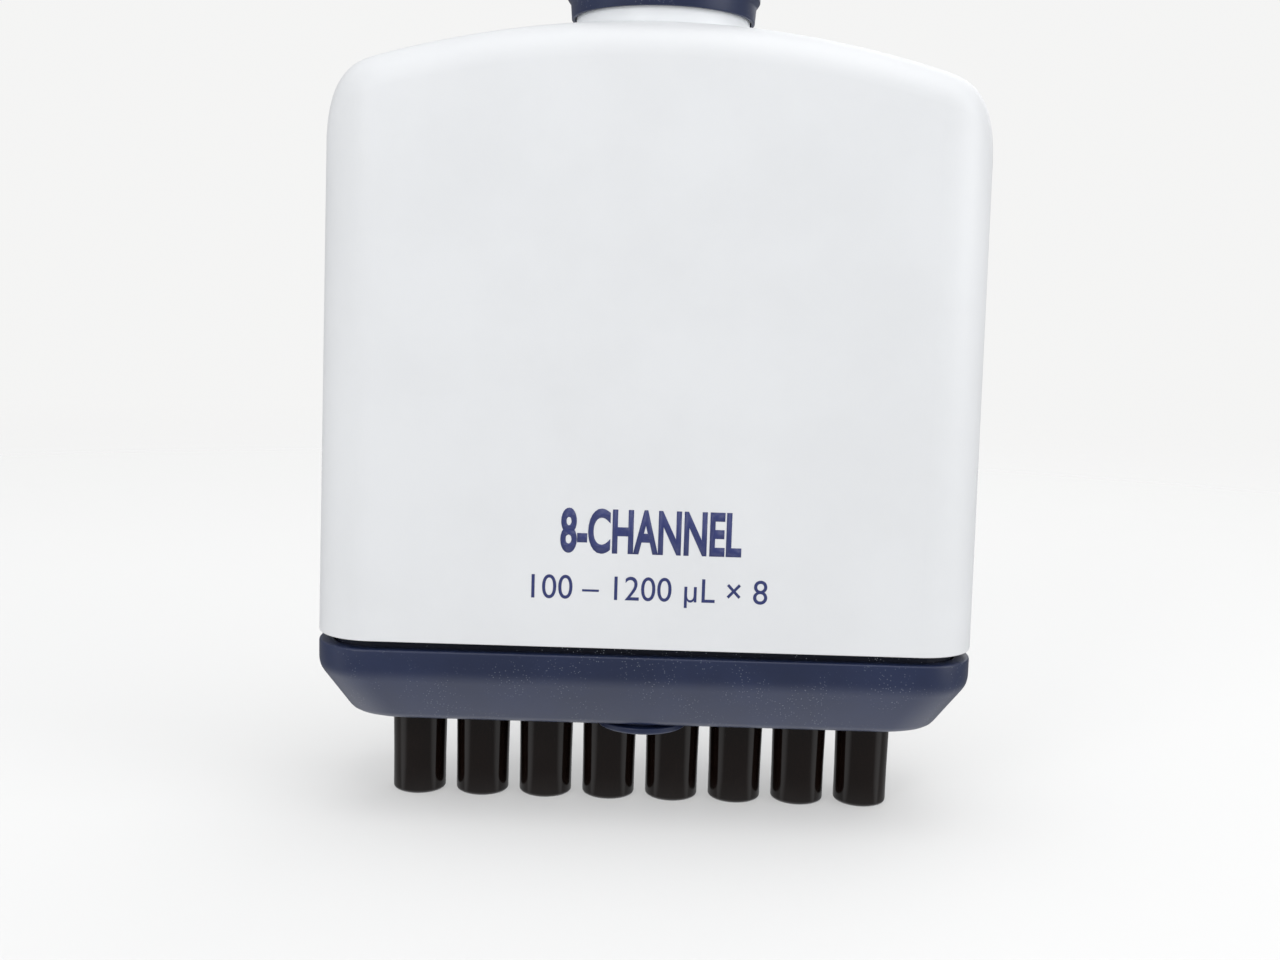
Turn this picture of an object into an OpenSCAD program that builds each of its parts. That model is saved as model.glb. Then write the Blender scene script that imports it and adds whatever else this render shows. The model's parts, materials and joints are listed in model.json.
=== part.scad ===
// Eight-channel adjustable micropipette: a wide swivelling head under a hand-held body.
// Origin: the middle of the row of tip shafts, at their open ends. +Z runs up the barrel, -Y is the front.

/* [Tip row] */
// Distance between neighbouring channels
pitch = 9; // [9:0.1:9.2]
// Number of channels in the row
channels = 8; // [8:1:8]
// Outer radius of a tip shaft, where a tip is pushed on
shaft_r = 3.7; // [3.4:0.05:3.8]
// Radius of a tip shaft where it enters the skirt
shaft_top_r = 3.82; // [3.7:0.01:3.9]
// Length of the straight seat for a tip
seat_h = 5; // [4:0.5:6]
// Length of tip shaft that stands out below the ejector skirt
shaft_out = 13.2; // [12:0.1:13.5]
// Radius of the air bore through a tip shaft
air_r = 1.4; // [1:0.1:1.6]

/* [Head] */
// Width of the head across the row
head_w = 88; // [88:0.5:92]
// Depth of the head, front to back
head_d = 32; // [32:0.5:34]
// Height of the domed top of the covers above the shaft ends
head_top = 105.2; // [105:0.1:106]
// Radius of the shallow dome over the head
dome_r = 134; // [125:1:160]
// Radius of the upright corners and of the shoulders
corner_r = 8; // [7:0.5:9]
// Radius of the edge between the front face and the dome
brow_r = 5; // [4:0.5:6]
// Thickness of the cover walls
wall = 2.2; // [1.8:0.1:2.4]
// How much narrower the covers get for each millimetre of height
side_taper = 0.00026; // [0:0.00002:0.0003]

/* [Ejector skirt] */
// Height of the whole skirt
skirt_h = 10.5; // [10.4:0.1:11.1]
// Height of its upright band, above the bevel
skirt_band = 3.5; // [3:0.1:4]
// How far the bevel runs in at the bottom
skirt_bevel = 4.4; // [4:0.1:5]
// Wall thickness of the skirt at its rim
skirt_wall = 2; // [1.5:0.1:2.1]
// How far the lug in the middle stands below the skirt
lug_drop = 1.3; // [1.2:0.1:2]
// Groove left between the skirt and the covers
groove = 1.1; // [1:0.1:1.3]
// Travel of the tip ejector
eject_travel = 7.5; // [7:0.1:7.5]

/* [Stroke] */
// Radius of a piston
piston_r = 4.8; // [4.7:0.05:4.8]
// How far each row of pistons stands from the middle plane
stagger = 6.2; // [6.2:0.05:6.3]
// Measuring stroke at the full volume
stroke = 16.6; // [16:0.1:16.6]
// Extra stroke that blows out the last drop
blow_out = 3; // [2.5:0.1:3]
// Advance of the stroke screw in one turn of the knob
screw_pitch = 1.38; // [1.3:0.01:1.4]

/* [Handle] */
// Height of the handle's lower end
handle_z0 = 121.3; // [121.3:0.1:121.6]
// Height of the handle's top
handle_z1 = 231; // [231:0.5:232]
// Reach of the finger hook behind the axis
hook_reach = 45; // [43:1:48]
// Width of the finger hook
hook_w = 17; // [14:1:19]
// Radius of the hollow that the finger lies in
hook_r = 11; // [10:0.5:12]
// Radius of the plunger knob
knob_r = 9.5; // [9:0.1:9.6]

/* [Hidden] */
$fn = 72;

// Heights in the head, from the shaft ends up
skirt_z0 = shaft_out;
skirt_z1 = skirt_z0 + skirt_h;
cover_z0 = skirt_z1 + groove;
plate_z0 = skirt_z1 - 1.2;
manifold_z0 = plate_z0 + 3.5;
manifold_z1 = manifold_z0 + 9;
gasket_z1 = manifold_z1 + 0.8;
bore_z0 = gasket_z1 + 1.6;
travel = stroke + blow_out;
piston_z0 = bore_z0 + 0.3 + travel;
seal_z0 = piston_z0 + 0.1;
block_z1 = seal_z0 + 3.2;
seal_plate_z1 = block_z1 + 1;
carriage_z0 = seal_plate_z1 + travel + 0.3;
carriage_z1 = carriage_z0 + 3.5;
clamp_z1 = carriage_z1 + 0.9;
yoke_z0 = clamp_z1 + eject_travel + 0.4;
yoke_z1 = yoke_z0 + 1.6;
yoke_end_r = 2.4;

// Plan sizes in the head
half_w = head_w / 2;
half_d = head_d / 2;
dome_z = head_top - dome_r;
block_w = half_w - wall - 0.8;
block_d = half_d - wall - 0.8;
cylinder_r = piston_r + 1.2;
rod_x = 37.4;
rod_y = 6;
rod_r = 1.5;
post_x = 32.4;
post_y = 7.8;
slide_gap = 0.1;
low_screw = [27, manifold_z0 + 4.4];
high_screw = [22, 98.4];

// Neck and coupling
collar_r = 11.6;
collar_z1 = 112;
nut_z0 = 106.9;
nut_z1 = 121;
spigot_r = 9.4;
sleeve_r = 7.4;
sleeve_bore = 5.6;
sleeve_z0 = yoke_z1 + 0.1;
sleeve_z1 = 133;

// Handle: stations of height, half width, front depth and rear depth
HANDLE = [
    [handle_z0, 13.2, 13.2, 13.2],
    [124, 13.9, 13.9, 13.9],
    [134, 14.0, 14.2, 14.3],
    [150, 13.8, 14.5, 14.8],
    [168, 14.0, 14.2, 15.2],
    [186, 14.8, 13.6, 16.4],
    [202, 15.6, 13.4, 18.0],
    [216, 16.0, 13.6, 19.6],
    [225, 15.6, 13.4, 20.0],
    [229, 14.4, 12.4, 18.8],
    [handle_z1, 12.4, 10.6, 16.8]
];
shell_wall = 2;
push_rod_r = 2.5;
rod_line_y = 10.2;
rail_z0 = 136;
rail_z1 = 221;
seat_z = 139;
collar_rest_z = 165.1;
screw_z0 = 175;
screw_z1 = 217.4;
drum_z0 = 197;
drum_h = 6.2;
drum_gap = 0.4;
drum_r = 8;
window_z0 = 194.6;
window_z1 = 219;
window_w = 9.6;
knob_z0 = 252.3;
knob_z1 = 266;
spindle_z0 = 190;
spindle_z1 = knob_z0 + 7;
stem_r = 3.4;
// The spindle is six-sided up to here, so that it can slide down through the stroke screw
round_z0 = screw_z1 + travel + 0.6;
button_z0 = 232.2 + eject_travel;
button_z1 = button_z0 + 7.5;
foot_z1 = 221.4;
ledge_z1 = 208;
hook_z = 207;
hook_t = 4.5;
lock_z0 = 223;
lock_z1 = 226.4;
shell_screw_x = 6.5;
shell_screw_z = [137.5, 173.6];

function channel_x(i) = (i - (channels - 1) / 2) * pitch;
function channel_y(i) = (i % 2 == 0 ? 1 : -1) * stagger;

// Points on an arc, in degrees
function arc(cx, cy, r, a0, a1, n) =
    [for (i = [0:n]) let (a = a0 + (a1 - a0) * i / n) [cx + r * cos(a), cy + r * sin(a)]];

// Outline of a rectangle with round corners, anticlockwise
function round_rect(w, d, r, n = 6) = concat(
    arc(w - r, d - r, r, 0, 90, n), arc(r - w, d - r, r, 90, 180, n),
    arc(r - w, r - d, r, 180, 270, n), arc(w - r, r - d, r, 270, 360, n));

function lift(outline, z) = [for (p = outline) [p.x, p.y, z]];

// One closed solid through rings of equal point count
module loft(rings) {
    n = len(rings[0]);
    last = len(rings) - 1;
    points = [for (ring = rings) each ring];
    sides = [for (k = [0:last - 1], i = [0:n - 1], half = [0, 1])
        let (j = (i + 1) % n, a = k * n + i, b = k * n + j, c = b + n, d = a + n)
        half == 0 ? [a, c, b] : [a, d, c]];
    polyhedron(points, concat([[for (i = [0:n - 1]) i]], sides, [[for (i = [n - 1:-1:0]) last * n + i]]),
        convexity = 6);
}

// Round wire wound into a spring round the Z axis
module coil_spring(r, wire_r, z0, z1, turns, sides = 6, steps = 14) {
    count = turns * steps;
    rise = (z1 - z0 - 2 * wire_r) / count;
    loft([for (k = [0:count]) let (a = 360 * k / steps, z = z0 + wire_r + rise * k)
        [for (s = [0:sides - 1]) let (b = -360 * s / sides, q = r + wire_r * cos(b))
            [q * cos(a), q * sin(a), z + wire_r * sin(b)]]]);
}

module tube(r, bore, z0, z1) {
    translate([0, 0, z0]) difference() {
        cylinder(r = r, h = z1 - z0);
        translate([0, 0, -1]) cylinder(r = bore, h = z1 - z0 + 2);
    }
}

module rod(r, z0, z1) {
    translate([0, 0, z0]) cylinder(r = r, h = z1 - z0);
}

module plate(w, d, z0, z1) {
    translate([-w, -d, z0]) cube([2 * w, 2 * d, z1 - z0]);
}

// Plate with upright corners that keep clear of the round corners inside the covers
module cornered_plate(inset, z0, z1) {
    w = block_w - inset;
    d = block_d - inset;
    r = corner_r - wall - 0.8;
    translate([0, 0, z0]) linear_extrude(height = z1 - z0) union() {
        translate([r - w, -d]) square([2 * (w - r), 2 * d]);
        translate([-w, r - d]) square([2 * w, 2 * (d - r)]);
        for (x = [-1, 1], y = [-1, 1]) translate([x * (w - r), y * (d - r)]) circle(r = r);
    }
}

// Socket-head screw with its shank along -Z and the head's top at the origin
module screw(shank_r, shank_h, head_r, head_h) {
    difference() {
        union() {
            translate([0, 0, -head_h]) cylinder(r = head_r, h = head_h);
            translate([0, 0, -head_h - shank_h]) cylinder(r = shank_r, h = shank_h + 0.5);
        }
        translate([0, 0, -head_h * 0.6]) cylinder(r = head_r * 0.55, h = head_h, $fn = 6);
    }
}

// The same thing at both corners of a diagonal
module on_diagonal(x, y) {
    for (s = [-1, 1]) translate([s * x, s * y, 0]) children();
}

// Height of the covers' top at a distance x from the middle, inset by t
function dome_top(x, t) =
    let (w = half_w - t, r = corner_r - t, big = dome_r - t,
         fz = dome_z + sqrt(pow(big - r, 2) - pow(w - r, 2)),
         tangent = (w - r) * big / (big - r), ax = abs(x))
    ax <= tangent ? dome_z + sqrt(big * big - ax * ax) : fz + sqrt(max(0, r * r - pow(ax - (w - r), 2)));

function half_depth(x, t) =
    let (w = half_w - t, r = corner_r - t, ax = abs(x))
    ax <= w - r ? half_d - t : half_d - t - r + sqrt(max(0, r * r - pow(ax - (w - r), 2)));

// Section through the covers at x, leaning in a little with height
function cover_section(x, t, z0) =
    let (d = half_depth(x, t), top = dome_top(x, t), r = brow_r - t)
    [for (p = concat([[d, z0]], arc(d - r, top - r, r, 0, 90, 4), arc(r - d, top - r, r, 90, 180, 4), [[-d, z0]]))
        [x * (1 - side_taper * (p.y - cover_z0)), p.x, p.y]];

function cover_stations(t) =
    let (w = half_w - t, r = corner_r - t, flat = w - r,
         half = concat([for (k = [1:4]) flat * k / 4], [for (a = [15:15:75]) flat + r * sin(a)], [w]))
    concat([for (i = [len(half) - 1:-1:0]) -half[i]], [0], half);

module cover_body(t, z0) {
    loft([for (x = cover_stations(t)) cover_section(x, t, z0)]);
}

module cover_half(side) {
    difference() {
        cover_body(0, cover_z0);
        cover_body(wall, cover_z0 - 1);
        rod(collar_r + 0.1, 95, 110);
        translate([-60, side > 0 ? -40 : 0, 0]) cube([120, 40, 120]);
    }
}

// Places of the four screws that hold the covers together, driven from behind
module cover_screw_places() {
    for (x = [-1, 1], p = [low_screw, high_screw]) translate([x * p.x, 0, p.y]) rotate([-90, 0, 0]) children();
}

module front_cover() {
    color("whitesmoke") difference() {
        union() {
            cover_half(-1);
            for (x = [-1, 1]) {
                translate([x * low_screw.x, 0.5 - half_d + wall - 1, low_screw.y]) rotate([-90, 0, 0])
                    cylinder(r = 2.1, h = 4.7);
                translate([x * high_screw.x, 0.5 - half_d + wall - 1, high_screw.y]) rotate([-90, 0, 0])
                    cylinder(r = 2.1, h = half_d - wall + 0.4);
            }
        }
        cover_screw_places() translate([0, 0, -half_d + 1.2]) cylinder(r = 0.9, h = half_d);
    }
}

module rear_cover() {
    color("whitesmoke") difference() {
        union() {
            cover_half(1);
            for (x = [-1, 1]) {
                translate([x * low_screw.x, 9.6, low_screw.y]) rotate([-90, 0, 0]) cylinder(r = 2.9, h = 4.8);
                translate([x * high_screw.x, 0.1, high_screw.y]) rotate([-90, 0, 0]) cylinder(r = 2.1, h = 9);
                translate([x * high_screw.x, 8.8, high_screw.y]) rotate([-90, 0, 0]) cylinder(r = 2.9, h = 5.4);
            }
        }
        cover_screw_places() translate([0, 0, -1]) cylinder(r = 1.1, h = 30);
        cover_screw_places() translate([0, 0, 12.2]) cylinder(r = 2.1, h = 10);
    }
}

module cover_screws() {
    color("silver") {
        for (x = [-1, 1]) translate([x * low_screw.x, 14, low_screw.y]) rotate([-90, 0, 0]) screw(0.85, 26, 1.9, 1.8);
        for (x = [-1, 1]) translate([x * high_screw.x, 14, high_screw.y]) rotate([-90, 0, 0]) screw(0.85, 18, 1.9, 1.8);
    }
}

module base_plate() {
    w = half_w - wall - 0.1;
    d = half_d - wall - 0.1;
    color([0.08, 0.09, 0.12]) difference() {
        loft([lift(round_rect(w, d, corner_r - wall), plate_z0), lift(round_rect(w, d, corner_r - wall), manifold_z0)]);
        for (i = [0:channels - 1]) translate([channel_x(i), 0, 0]) rod(3.5, 15, 30);
        on_diagonal(rod_x, rod_y) rod(rod_r + 0.2, 15, 30);
    }
}

// One stepped tip shaft: nose, shank, clamped flange and the plug that enters the manifold
module tip_shaft(i) {
    flange_z0 = manifold_z0;
    color([0.05, 0.05, 0.055]) translate([channel_x(i), 0, 0]) difference() {
        rotate_extrude() polygon([
            [air_r, 0], [shaft_r - 0.3, 0], [shaft_r, 0.3], [shaft_r, seat_h], [shaft_top_r, shaft_out + 1.4],
            [3.4, shaft_out + 1.4], [3.4, flange_z0], [4, flange_z0], [4, flange_z0 + 1.4],
            [3, flange_z0 + 1.4], [3, flange_z0 + 2.6], [2.4, flange_z0 + 2.6], [2.4, flange_z0 + 4],
            [3, flange_z0 + 4], [3, flange_z0 + 5.4], [air_r, flange_z0 + 5.4]]);
        translate([0, 0, -1]) cylinder(r1 = air_r + 1.9, r2 = air_r, h = 2.6);
    }
}

module shaft_o_rings() {
    color("dimgray") for (i = [0:channels - 1])
        translate([channel_x(i), 0, manifold_z0 + 3.3]) rotate_extrude() translate([2.73, 0]) circle(r = 0.31, $fn = 24);
}

module manifold_block() {
    color("slategray") difference() {
        cornered_plate(0, manifold_z0, manifold_z1);
        for (i = [0:channels - 1]) translate([channel_x(i), 0, 0]) {
            rod(4.1, manifold_z0 - 1, manifold_z0 + 1.5);
            rod(3.05, manifold_z0 - 1, manifold_z0 + 5.6);
            rod(air_r, manifold_z0, manifold_z1 - 1.6);
            translate([-air_r, min(0, channel_y(i)), manifold_z1 - 2.8]) cube([2 * air_r, stagger, 1.2]);
            translate([0, channel_y(i), 0]) rod(air_r, manifold_z1 - 2.8, manifold_z1 + 1);
        }
        // Ways through for the lower cover screws, with pockets for the covers' bosses
        for (x = [-1, 1]) translate([x * low_screw.x, 0, low_screw.y]) rotate([-90, 0, 0]) {
            translate([0, 0, -20]) cylinder(r = 1, h = 40);
            translate([0, 0, -20]) cylinder(r = 2.3, h = 20 - 9.4);
            translate([0, 0, 9.4]) cylinder(r = 3.1, h = 10);
        }
        on_diagonal(rod_x, rod_y) rod(rod_r + 0.2, 20, 50);
    }
}

module manifold_gasket() {
    color("dimgray") difference() {
        cornered_plate(0.4, manifold_z1, gasket_z1);
        for (i = [0:channels - 1]) translate([channel_x(i), channel_y(i), 0]) rod(air_r + 0.2, 30, 40);
        on_diagonal(rod_x, rod_y) rod(rod_r + 0.6, 30, 50);
    }
}

module cylinder_block() {
    color("gainsboro") difference() {
        union() {
            cornered_plate(0, gasket_z1, bore_z0);
            translate([-35, -0.9, gasket_z1]) cube([70, 1.8, block_z1 - gasket_z1 - 1]);
            for (p = plate_screws) translate([p.x, p.y, 0]) rod(2.1, bore_z0 - 0.5, block_z1);
            for (i = [0:channels - 1]) translate([channel_x(i), channel_y(i), 0]) {
                rod(cylinder_r, bore_z0 - 0.5, block_z1);
                rod(cylinder_r + 0.9, seal_z0 - 3, block_z1);
            }
        }
        for (i = [0:channels - 1]) translate([channel_x(i), channel_y(i), 0]) {
            rod(air_r, 30, 50);
            rod(piston_r + 0.05, bore_z0, block_z1 + 1);
            rod(piston_r + 1.1, seal_z0, block_z1 + 1);
        }
        for (p = plate_screws) translate([p.x, p.y, 0]) rod(0.9, block_z1 - 8, block_z1 + 1);
        on_diagonal(rod_x, rod_y) rod(rod_r + 0.2, 30, 70);
        on_diagonal(post_x, post_y) rod(rod_r, 30, 70);
    }
}

module piston_seals() {
    color("white") for (i = [0:channels - 1]) translate([channel_x(i), channel_y(i), seal_z0]) rotate_extrude()
        polygon([[piston_r + 0.05, 0], [piston_r + 1.05, 0], [piston_r + 1.05, 3.1], [piston_r + 0.75, 3.1],
            [piston_r + 0.6, 1.4], [piston_r + 0.4, 1.4], [piston_r + 0.3, 3.1], [piston_r + 0.05, 3.1]]);
}

plate_screws = [[-22.5, 9.6], [-4.5, 9.6], [4.5, -9.6], [22.5, -9.6]];

module seal_plate() {
    color("silver") difference() {
        plate(38.2, block_d - 0.2, block_z1, seal_plate_z1);
        for (i = [0:channels - 1]) translate([channel_x(i), channel_y(i), 0]) rod(piston_r + 0.25, 50, 70);
        on_diagonal(post_x, post_y) rod(rod_r + slide_gap, 50, 70);
        on_diagonal(rod_x, rod_y) rod(3.2, 50, 70);
        for (p = plate_screws) translate([p.x, p.y, 0]) rod(1.8, 50, 70);
    }
}

module seal_plate_screws() {
    color("silver") for (p = plate_screws) translate([p.x, p.y, seal_plate_z1]) screw(0.85, 5, 1.8, 1);
}

module guide_posts() {
    color("silver") on_diagonal(post_x, post_y) rod(rod_r, gasket_z1, yoke_z0 - eject_travel - 0.4);
}

module piston_row(side) {
    color("silver") for (i = [0:channels - 1]) if (sign(channel_y(i)) == side)
        translate([channel_x(i), channel_y(i), 0]) union() {
            rod(piston_r, piston_z0 + 0.4, carriage_z0);
            translate([0, 0, piston_z0]) cylinder(r1 = piston_r - 0.4, r2 = piston_r, h = 0.4);
            rod(2, carriage_z0 - 0.5, carriage_z1);
        }
}

carriage_screws = [[-20, -9.6], [-20, 9.6], [20, -9.6], [20, 9.6]];

module piston_carriage() {
    color("slategray") difference() {
        plate(35.4, 12.4, carriage_z0, carriage_z1);
        for (i = [0:channels - 1]) translate([channel_x(i), channel_y(i), 0]) rod(2.05, 70, 95);
        on_diagonal(post_x, post_y) rod(rod_r + slide_gap, 70, 95);
        on_diagonal(rod_x, rod_y) rod(3.2, 70, 95);
        for (p = carriage_screws) translate([p.x, p.y, 0]) rod(1.1, 70, 95);
    }
}

module piston_clamp() {
    color("silver") difference() {
        plate(34, 11.8, carriage_z1, clamp_z1);
        on_diagonal(post_x, post_y) rod(rod_r + 0.5, 70, 95);
        for (p = carriage_screws) translate([p.x, p.y, 0]) rod(1.1, 70, 95);
    }
}

module clamp_screws() {
    color("silver") for (p = carriage_screws) translate([p.x, p.y, clamp_z1 + 1.2]) screw(1, 3, 1.8, 1.2);
}

// Cup on the carriage that holds the end of the push rod and lets it turn
module rod_socket() {
    color("silver") translate([0, 0, clamp_z1]) rotate_extrude()
        polygon([[4.15, 0], [5.2, 0], [5.2, 3.4], [2.9, 3.4], [2.9, 2.4], [4.15, 2.4]]);
}

// Outer rings of the skirt: inset from the head's own plan, and height
SKIRT_EDGE = [[5.5, 0], [5, 0.15], [4.6, 0.6], [0.25, skirt_h - skirt_band - 0.5], [0, skirt_h - skirt_band + 0.3],
    [0, skirt_h - 0.25], [0.25, skirt_h]];

module ejector_skirt() {
    t = skirt_wall;
    floor_z = skirt_z0 + 2.4;
    band_z = skirt_z1 - skirt_band;
    scale_in = skirt_bevel / 4.8;
    color("midnightblue") difference() {
        union() {
            difference() {
                loft([for (e = SKIRT_EDGE) let (inset = e.x * scale_in)
                    lift(round_rect(half_w - inset, half_d - inset, corner_r - inset / 2), skirt_z0 + e.y)]);
                loft([for (e = [[3.46 * scale_in, floor_z], [0, band_z], [0, skirt_z1 + 1]])
                    lift(round_rect(half_w - e.x - t, half_d - e.x - t, corner_r - e.x / 2 - t), e.y)]);
            }
            // Seats for the two ejector rods
            on_diagonal(rod_x, rod_y) rod(2.3, floor_z - 0.1, floor_z + 4);
            // Low lug in the middle, which meets the two middle tips before the others
            translate([0, 6.4 - half_d + skirt_bevel, skirt_z0 - lug_drop]) {
                rotate_extrude() polygon([[0, 0], [5.8, 0], [6.2, 0.4], [6.2, 0.7], [6, 0.9], [0, 0.9]]);
                cylinder(r = 4.8, h = lug_drop + 0.1);
            }
        }
        on_diagonal(rod_x, rod_y) rod(rod_r, floor_z, floor_z + 5);
        for (i = [0:channels - 1]) translate([channel_x(i), 0, 0]) rod(shaft_top_r + 0.23, 5, 30);
    }
}

module ejector_rods() {
    color("silver") on_diagonal(rod_x, rod_y) union() {
        rod(rod_r, skirt_z0 + 2.4, yoke_z0);
        rod(1, yoke_z0 - 0.5, yoke_z1);
    }
}

module ejector_yoke() {
    reach = sqrt(rod_x * rod_x + rod_y * rod_y);
    color("silver") difference() {
        rotate([0, 0, atan(rod_y / rod_x)]) union() {
            translate([-reach, -yoke_end_r, yoke_z0]) cube([2 * reach, 2 * yoke_end_r, yoke_z1 - yoke_z0]);
            for (s = [-1, 1]) translate([s * reach, 0, 0]) rod(yoke_end_r, yoke_z0, yoke_z1);
            rod(9.4, yoke_z0, yoke_z1);
        }
        rod(sleeve_bore, 80, 110);
        on_diagonal(rod_x, rod_y) rod(1, 80, 110);
    }
}

module skirt_springs() {
    color("silver") on_diagonal(rod_x, rod_y) coil_spring(2.15, 0.3, bore_z0, yoke_z0, 13, 5, 9);
}

// Swivel collar on the dome, with the thread that the coupling nut grips
module neck_collar() {
    color("gainsboro") rotate_extrude() polygon([
        [spigot_r + slide_gap, 99.4], [13, 99.4], [13, 102], [collar_r, 102], [collar_r, 107.4],
        [collar_r - 0.5, 107.9], [collar_r - 0.5, 108.5], [collar_r, 109], [collar_r - 0.5, 109.5],
        [collar_r - 0.5, 110.1], [collar_r, 110.6], [collar_r, collar_z1], [spigot_r + slide_gap, collar_z1]]);
}

flutes = 26;

module coupling_nut() {
    color("midnightblue") difference() {
        rotate_extrude() polygon([
            [collar_r + 0.2, nut_z0], [12.2, nut_z0], [12.35, nut_z0 + 0.3], [12.45, nut_z0 + 2.1], [12.9, nut_z0 + 2.8], [12.9, nut_z1 - 1.2],
            [12.4, nut_z1], [11.4, nut_z1], [11.4, 117.6], [spigot_r + 0.3, 117.6], [spigot_r + 0.3, 114.8],
            [collar_r + 0.2, 114.8]]);
        for (k = [0:flutes - 1]) rotate([0, 0, 360 * k / flutes]) translate([13.2, 0, nut_z0 + 3.2])
            cylinder(r = 0.8, h = nut_z1 - nut_z0 - 5.2, $fn = 24);
    }
}

// Hollow spigot of the handle that the swivel collar turns on
module coupling_spigot() {
    color("dimgray") difference() {
        rotate_extrude() polygon([
            [sleeve_r + 0.3, 100.4], [spigot_r, 100.4], [spigot_r, 112.2], [11, 112.2], [11, 114.6],
            [spigot_r, 114.6], [spigot_r, 123.6], [11.1, 123.6], [11.1, 125.4], [spigot_r, 125.4],
            [spigot_r, 128], [sleeve_r + 0.3, 128]]);
        translate([-2.2, 0, 120.6]) cube([4.4, 14, 10]);
    }
}

// Inside of the handle: two bulkheads joined by rails, with a bearing ring for the number drums
module inner_frame() {
    rails_x = 9.2;
    ring_z0 = 172.1;
    color("dimgray") difference() {
        union() {
            rod(11.8, rail_z0, seat_z);
            rod(11.5, rail_z1 - 3, rail_z1);
            for (s = [-1, 1]) translate([s * (rails_x + 0.9) - 0.9, -3, rail_z0]) cube([1.8, 6, rail_z1 - rail_z0]);
            tube(11.8, 8.6, ring_z0, ring_z0 + 3);
            // Ledge behind the drums, which the ejector's spring stands on
            difference() {
                tube(13, 8.4, ledge_z1 - 1.6, ledge_z1);
                translate([-20, -22, 200]) cube([40, 20, 10]);
            }
        }
        rod(push_rod_r + 0.3, 130, 150);
        rod(5.8, rail_z1 - 5, rail_z1 + 1);
        translate([0, rod_line_y, 0]) rod(1.5, 130, ledge_z1 + 2);
        translate([-1.5, rod_line_y, 130]) cube([3, 3, 60]);
        translate([-4.2, 7.6, rail_z1 - 4]) cube([8.4, 6, 6]);
        for (s = [-1, 1], z = shell_screw_z) translate([s * shell_screw_x, 0, z]) rotate([-90, 0, 0])
            cylinder(r = 0.85, h = 20);
        // Grooves that keep the stop sleeve from turning
        for (s = [-1, 1]) translate([s * rails_x - 1, -1.35, 145]) cube([2, 2.7, 52]);
    }
}

module main_spring() {
    color("silver") coil_spring(5.6, 0.42, seat_z, collar_rest_z, 7);
}

module blow_out_spring() {
    color("silver") coil_spring(3.6, 0.4, seat_z, 144, 4);
}

module blow_out_washer() {
    color("goldenrod") tube(4.7, push_rod_r + 0.2, 144, 145.3);
}

// Plunger rod: a disc that turns in the carriage's socket, a shoulder and a head that hold the spindle
module push_rod() {
    color("silver") union() {
        rod(4, clamp_z1 + 0.15, clamp_z1 + 2.2);
        rod(push_rod_r, clamp_z1 + 0.15, spindle_z1 + 2);
        rod(2.95, spindle_z0 - 1.4, spindle_z0);
        rod(3.1, spindle_z1, spindle_z1 + 1.2);
    }
}

module rod_collar() {
    color("goldenrod") tube(6.1, push_rod_r, collar_rest_z, collar_rest_z + 2.5);
}

module drive_spindle() {
    color("white") difference() {
        union() {
            translate([0, 0, spindle_z0]) cylinder(r = stem_r, h = round_z0 + 0.5 - spindle_z0, $fn = 6);
            rod(stem_r, round_z0, spindle_z1);
        }
        rod(push_rod_r + 0.05, 180, 270);
    }
}

module volume_screw() {
    bore = stem_r + 0.12;
    thread = [for (k = [0:13]) each let (z = screw_z0 + 1 + k * screw_pitch)
        [[6.35, z], [5.9, z + 0.35], [5.9, z + 0.75], [6.35, z + 1.1]]];
    color("goldenrod") difference() {
        rotate_extrude() polygon(concat([[1, screw_z0], [6.35, screw_z0]], thread,
            [[6.35, 195.2], [7.9, 195.2], [7.9, 196.6], [5.6, 196.6], [5.6, screw_z1], [1, screw_z1]]));
        translate([0, 0, 170]) cylinder(r = bore, h = 50, $fn = 6);
    }
}

// Sleeve that climbs the stroke screw and sets where the plunger starts
module stop_sleeve() {
    color("slategray") union() {
        tube(7.5, 6.5, 168, 194);
        for (s = [-1, 1]) translate([s * 8.5 - 1.4, -1.2, 187]) cube([2.8, 2.4, 6]);
    }
}

module number_drum(k) {
    z = drum_z0 + k * (drum_h + drum_gap);
    color("white") difference() {
        rod(drum_r, z, z + drum_h);
        rod(5.7, z - 1, z + drum_h + 1);
        for (a = [0:36:324]) rotate([0, 0, a + 18]) translate([drum_r + 0.15, 0, z - 1]) cylinder(r = 0.3, h = drum_h + 2, $fn = 16);
    }
}

function handle_at(z, t) =
    let (k = max([for (i = [0:len(HANDLE) - 2]) if (HANDLE[i][0] <= z) i]),
         a = HANDLE[k], b = HANDLE[k + 1], u = (z - a[0]) / (b[0] - a[0]), m = a + (b - a) * u)
    [m[1] - t, m[2] - t, m[3] - t];

// Egg-shaped section of the handle, flatter at the sides than an ellipse
function handle_ring(z, t, n = 36) =
    let (s = handle_at(z, t))
    [for (i = [0:n - 1]) let (a = 360 * i / n, c = cos(a), q = sin(a), e = 2 / 2.3)
        [s[0] * sign(c) * pow(abs(c), e), (q < 0 ? s[1] : s[2]) * sign(q) * pow(abs(q), e), z]];

module handle_body(t, z0, z1) {
    levels = concat([z0], [for (h = HANDLE) if (h[0] > z0 + 0.5 && h[0] < z1 - 0.5) h[0]], [z1]);
    loft([for (z = levels) handle_ring(z, t)]);
}

module handle_half(side) {
    difference() {
        handle_body(0, handle_z0, handle_z1);
        handle_body(shell_wall, 123.6, 228.9);
        translate([-40, side > 0 ? -60 : 0, 100]) cube([80, 60, 150]);
        rod(spigot_r + 0.1, 115, 130);
        rod(6.2, 225, 240);
        lock_slot();
    }
}

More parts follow.
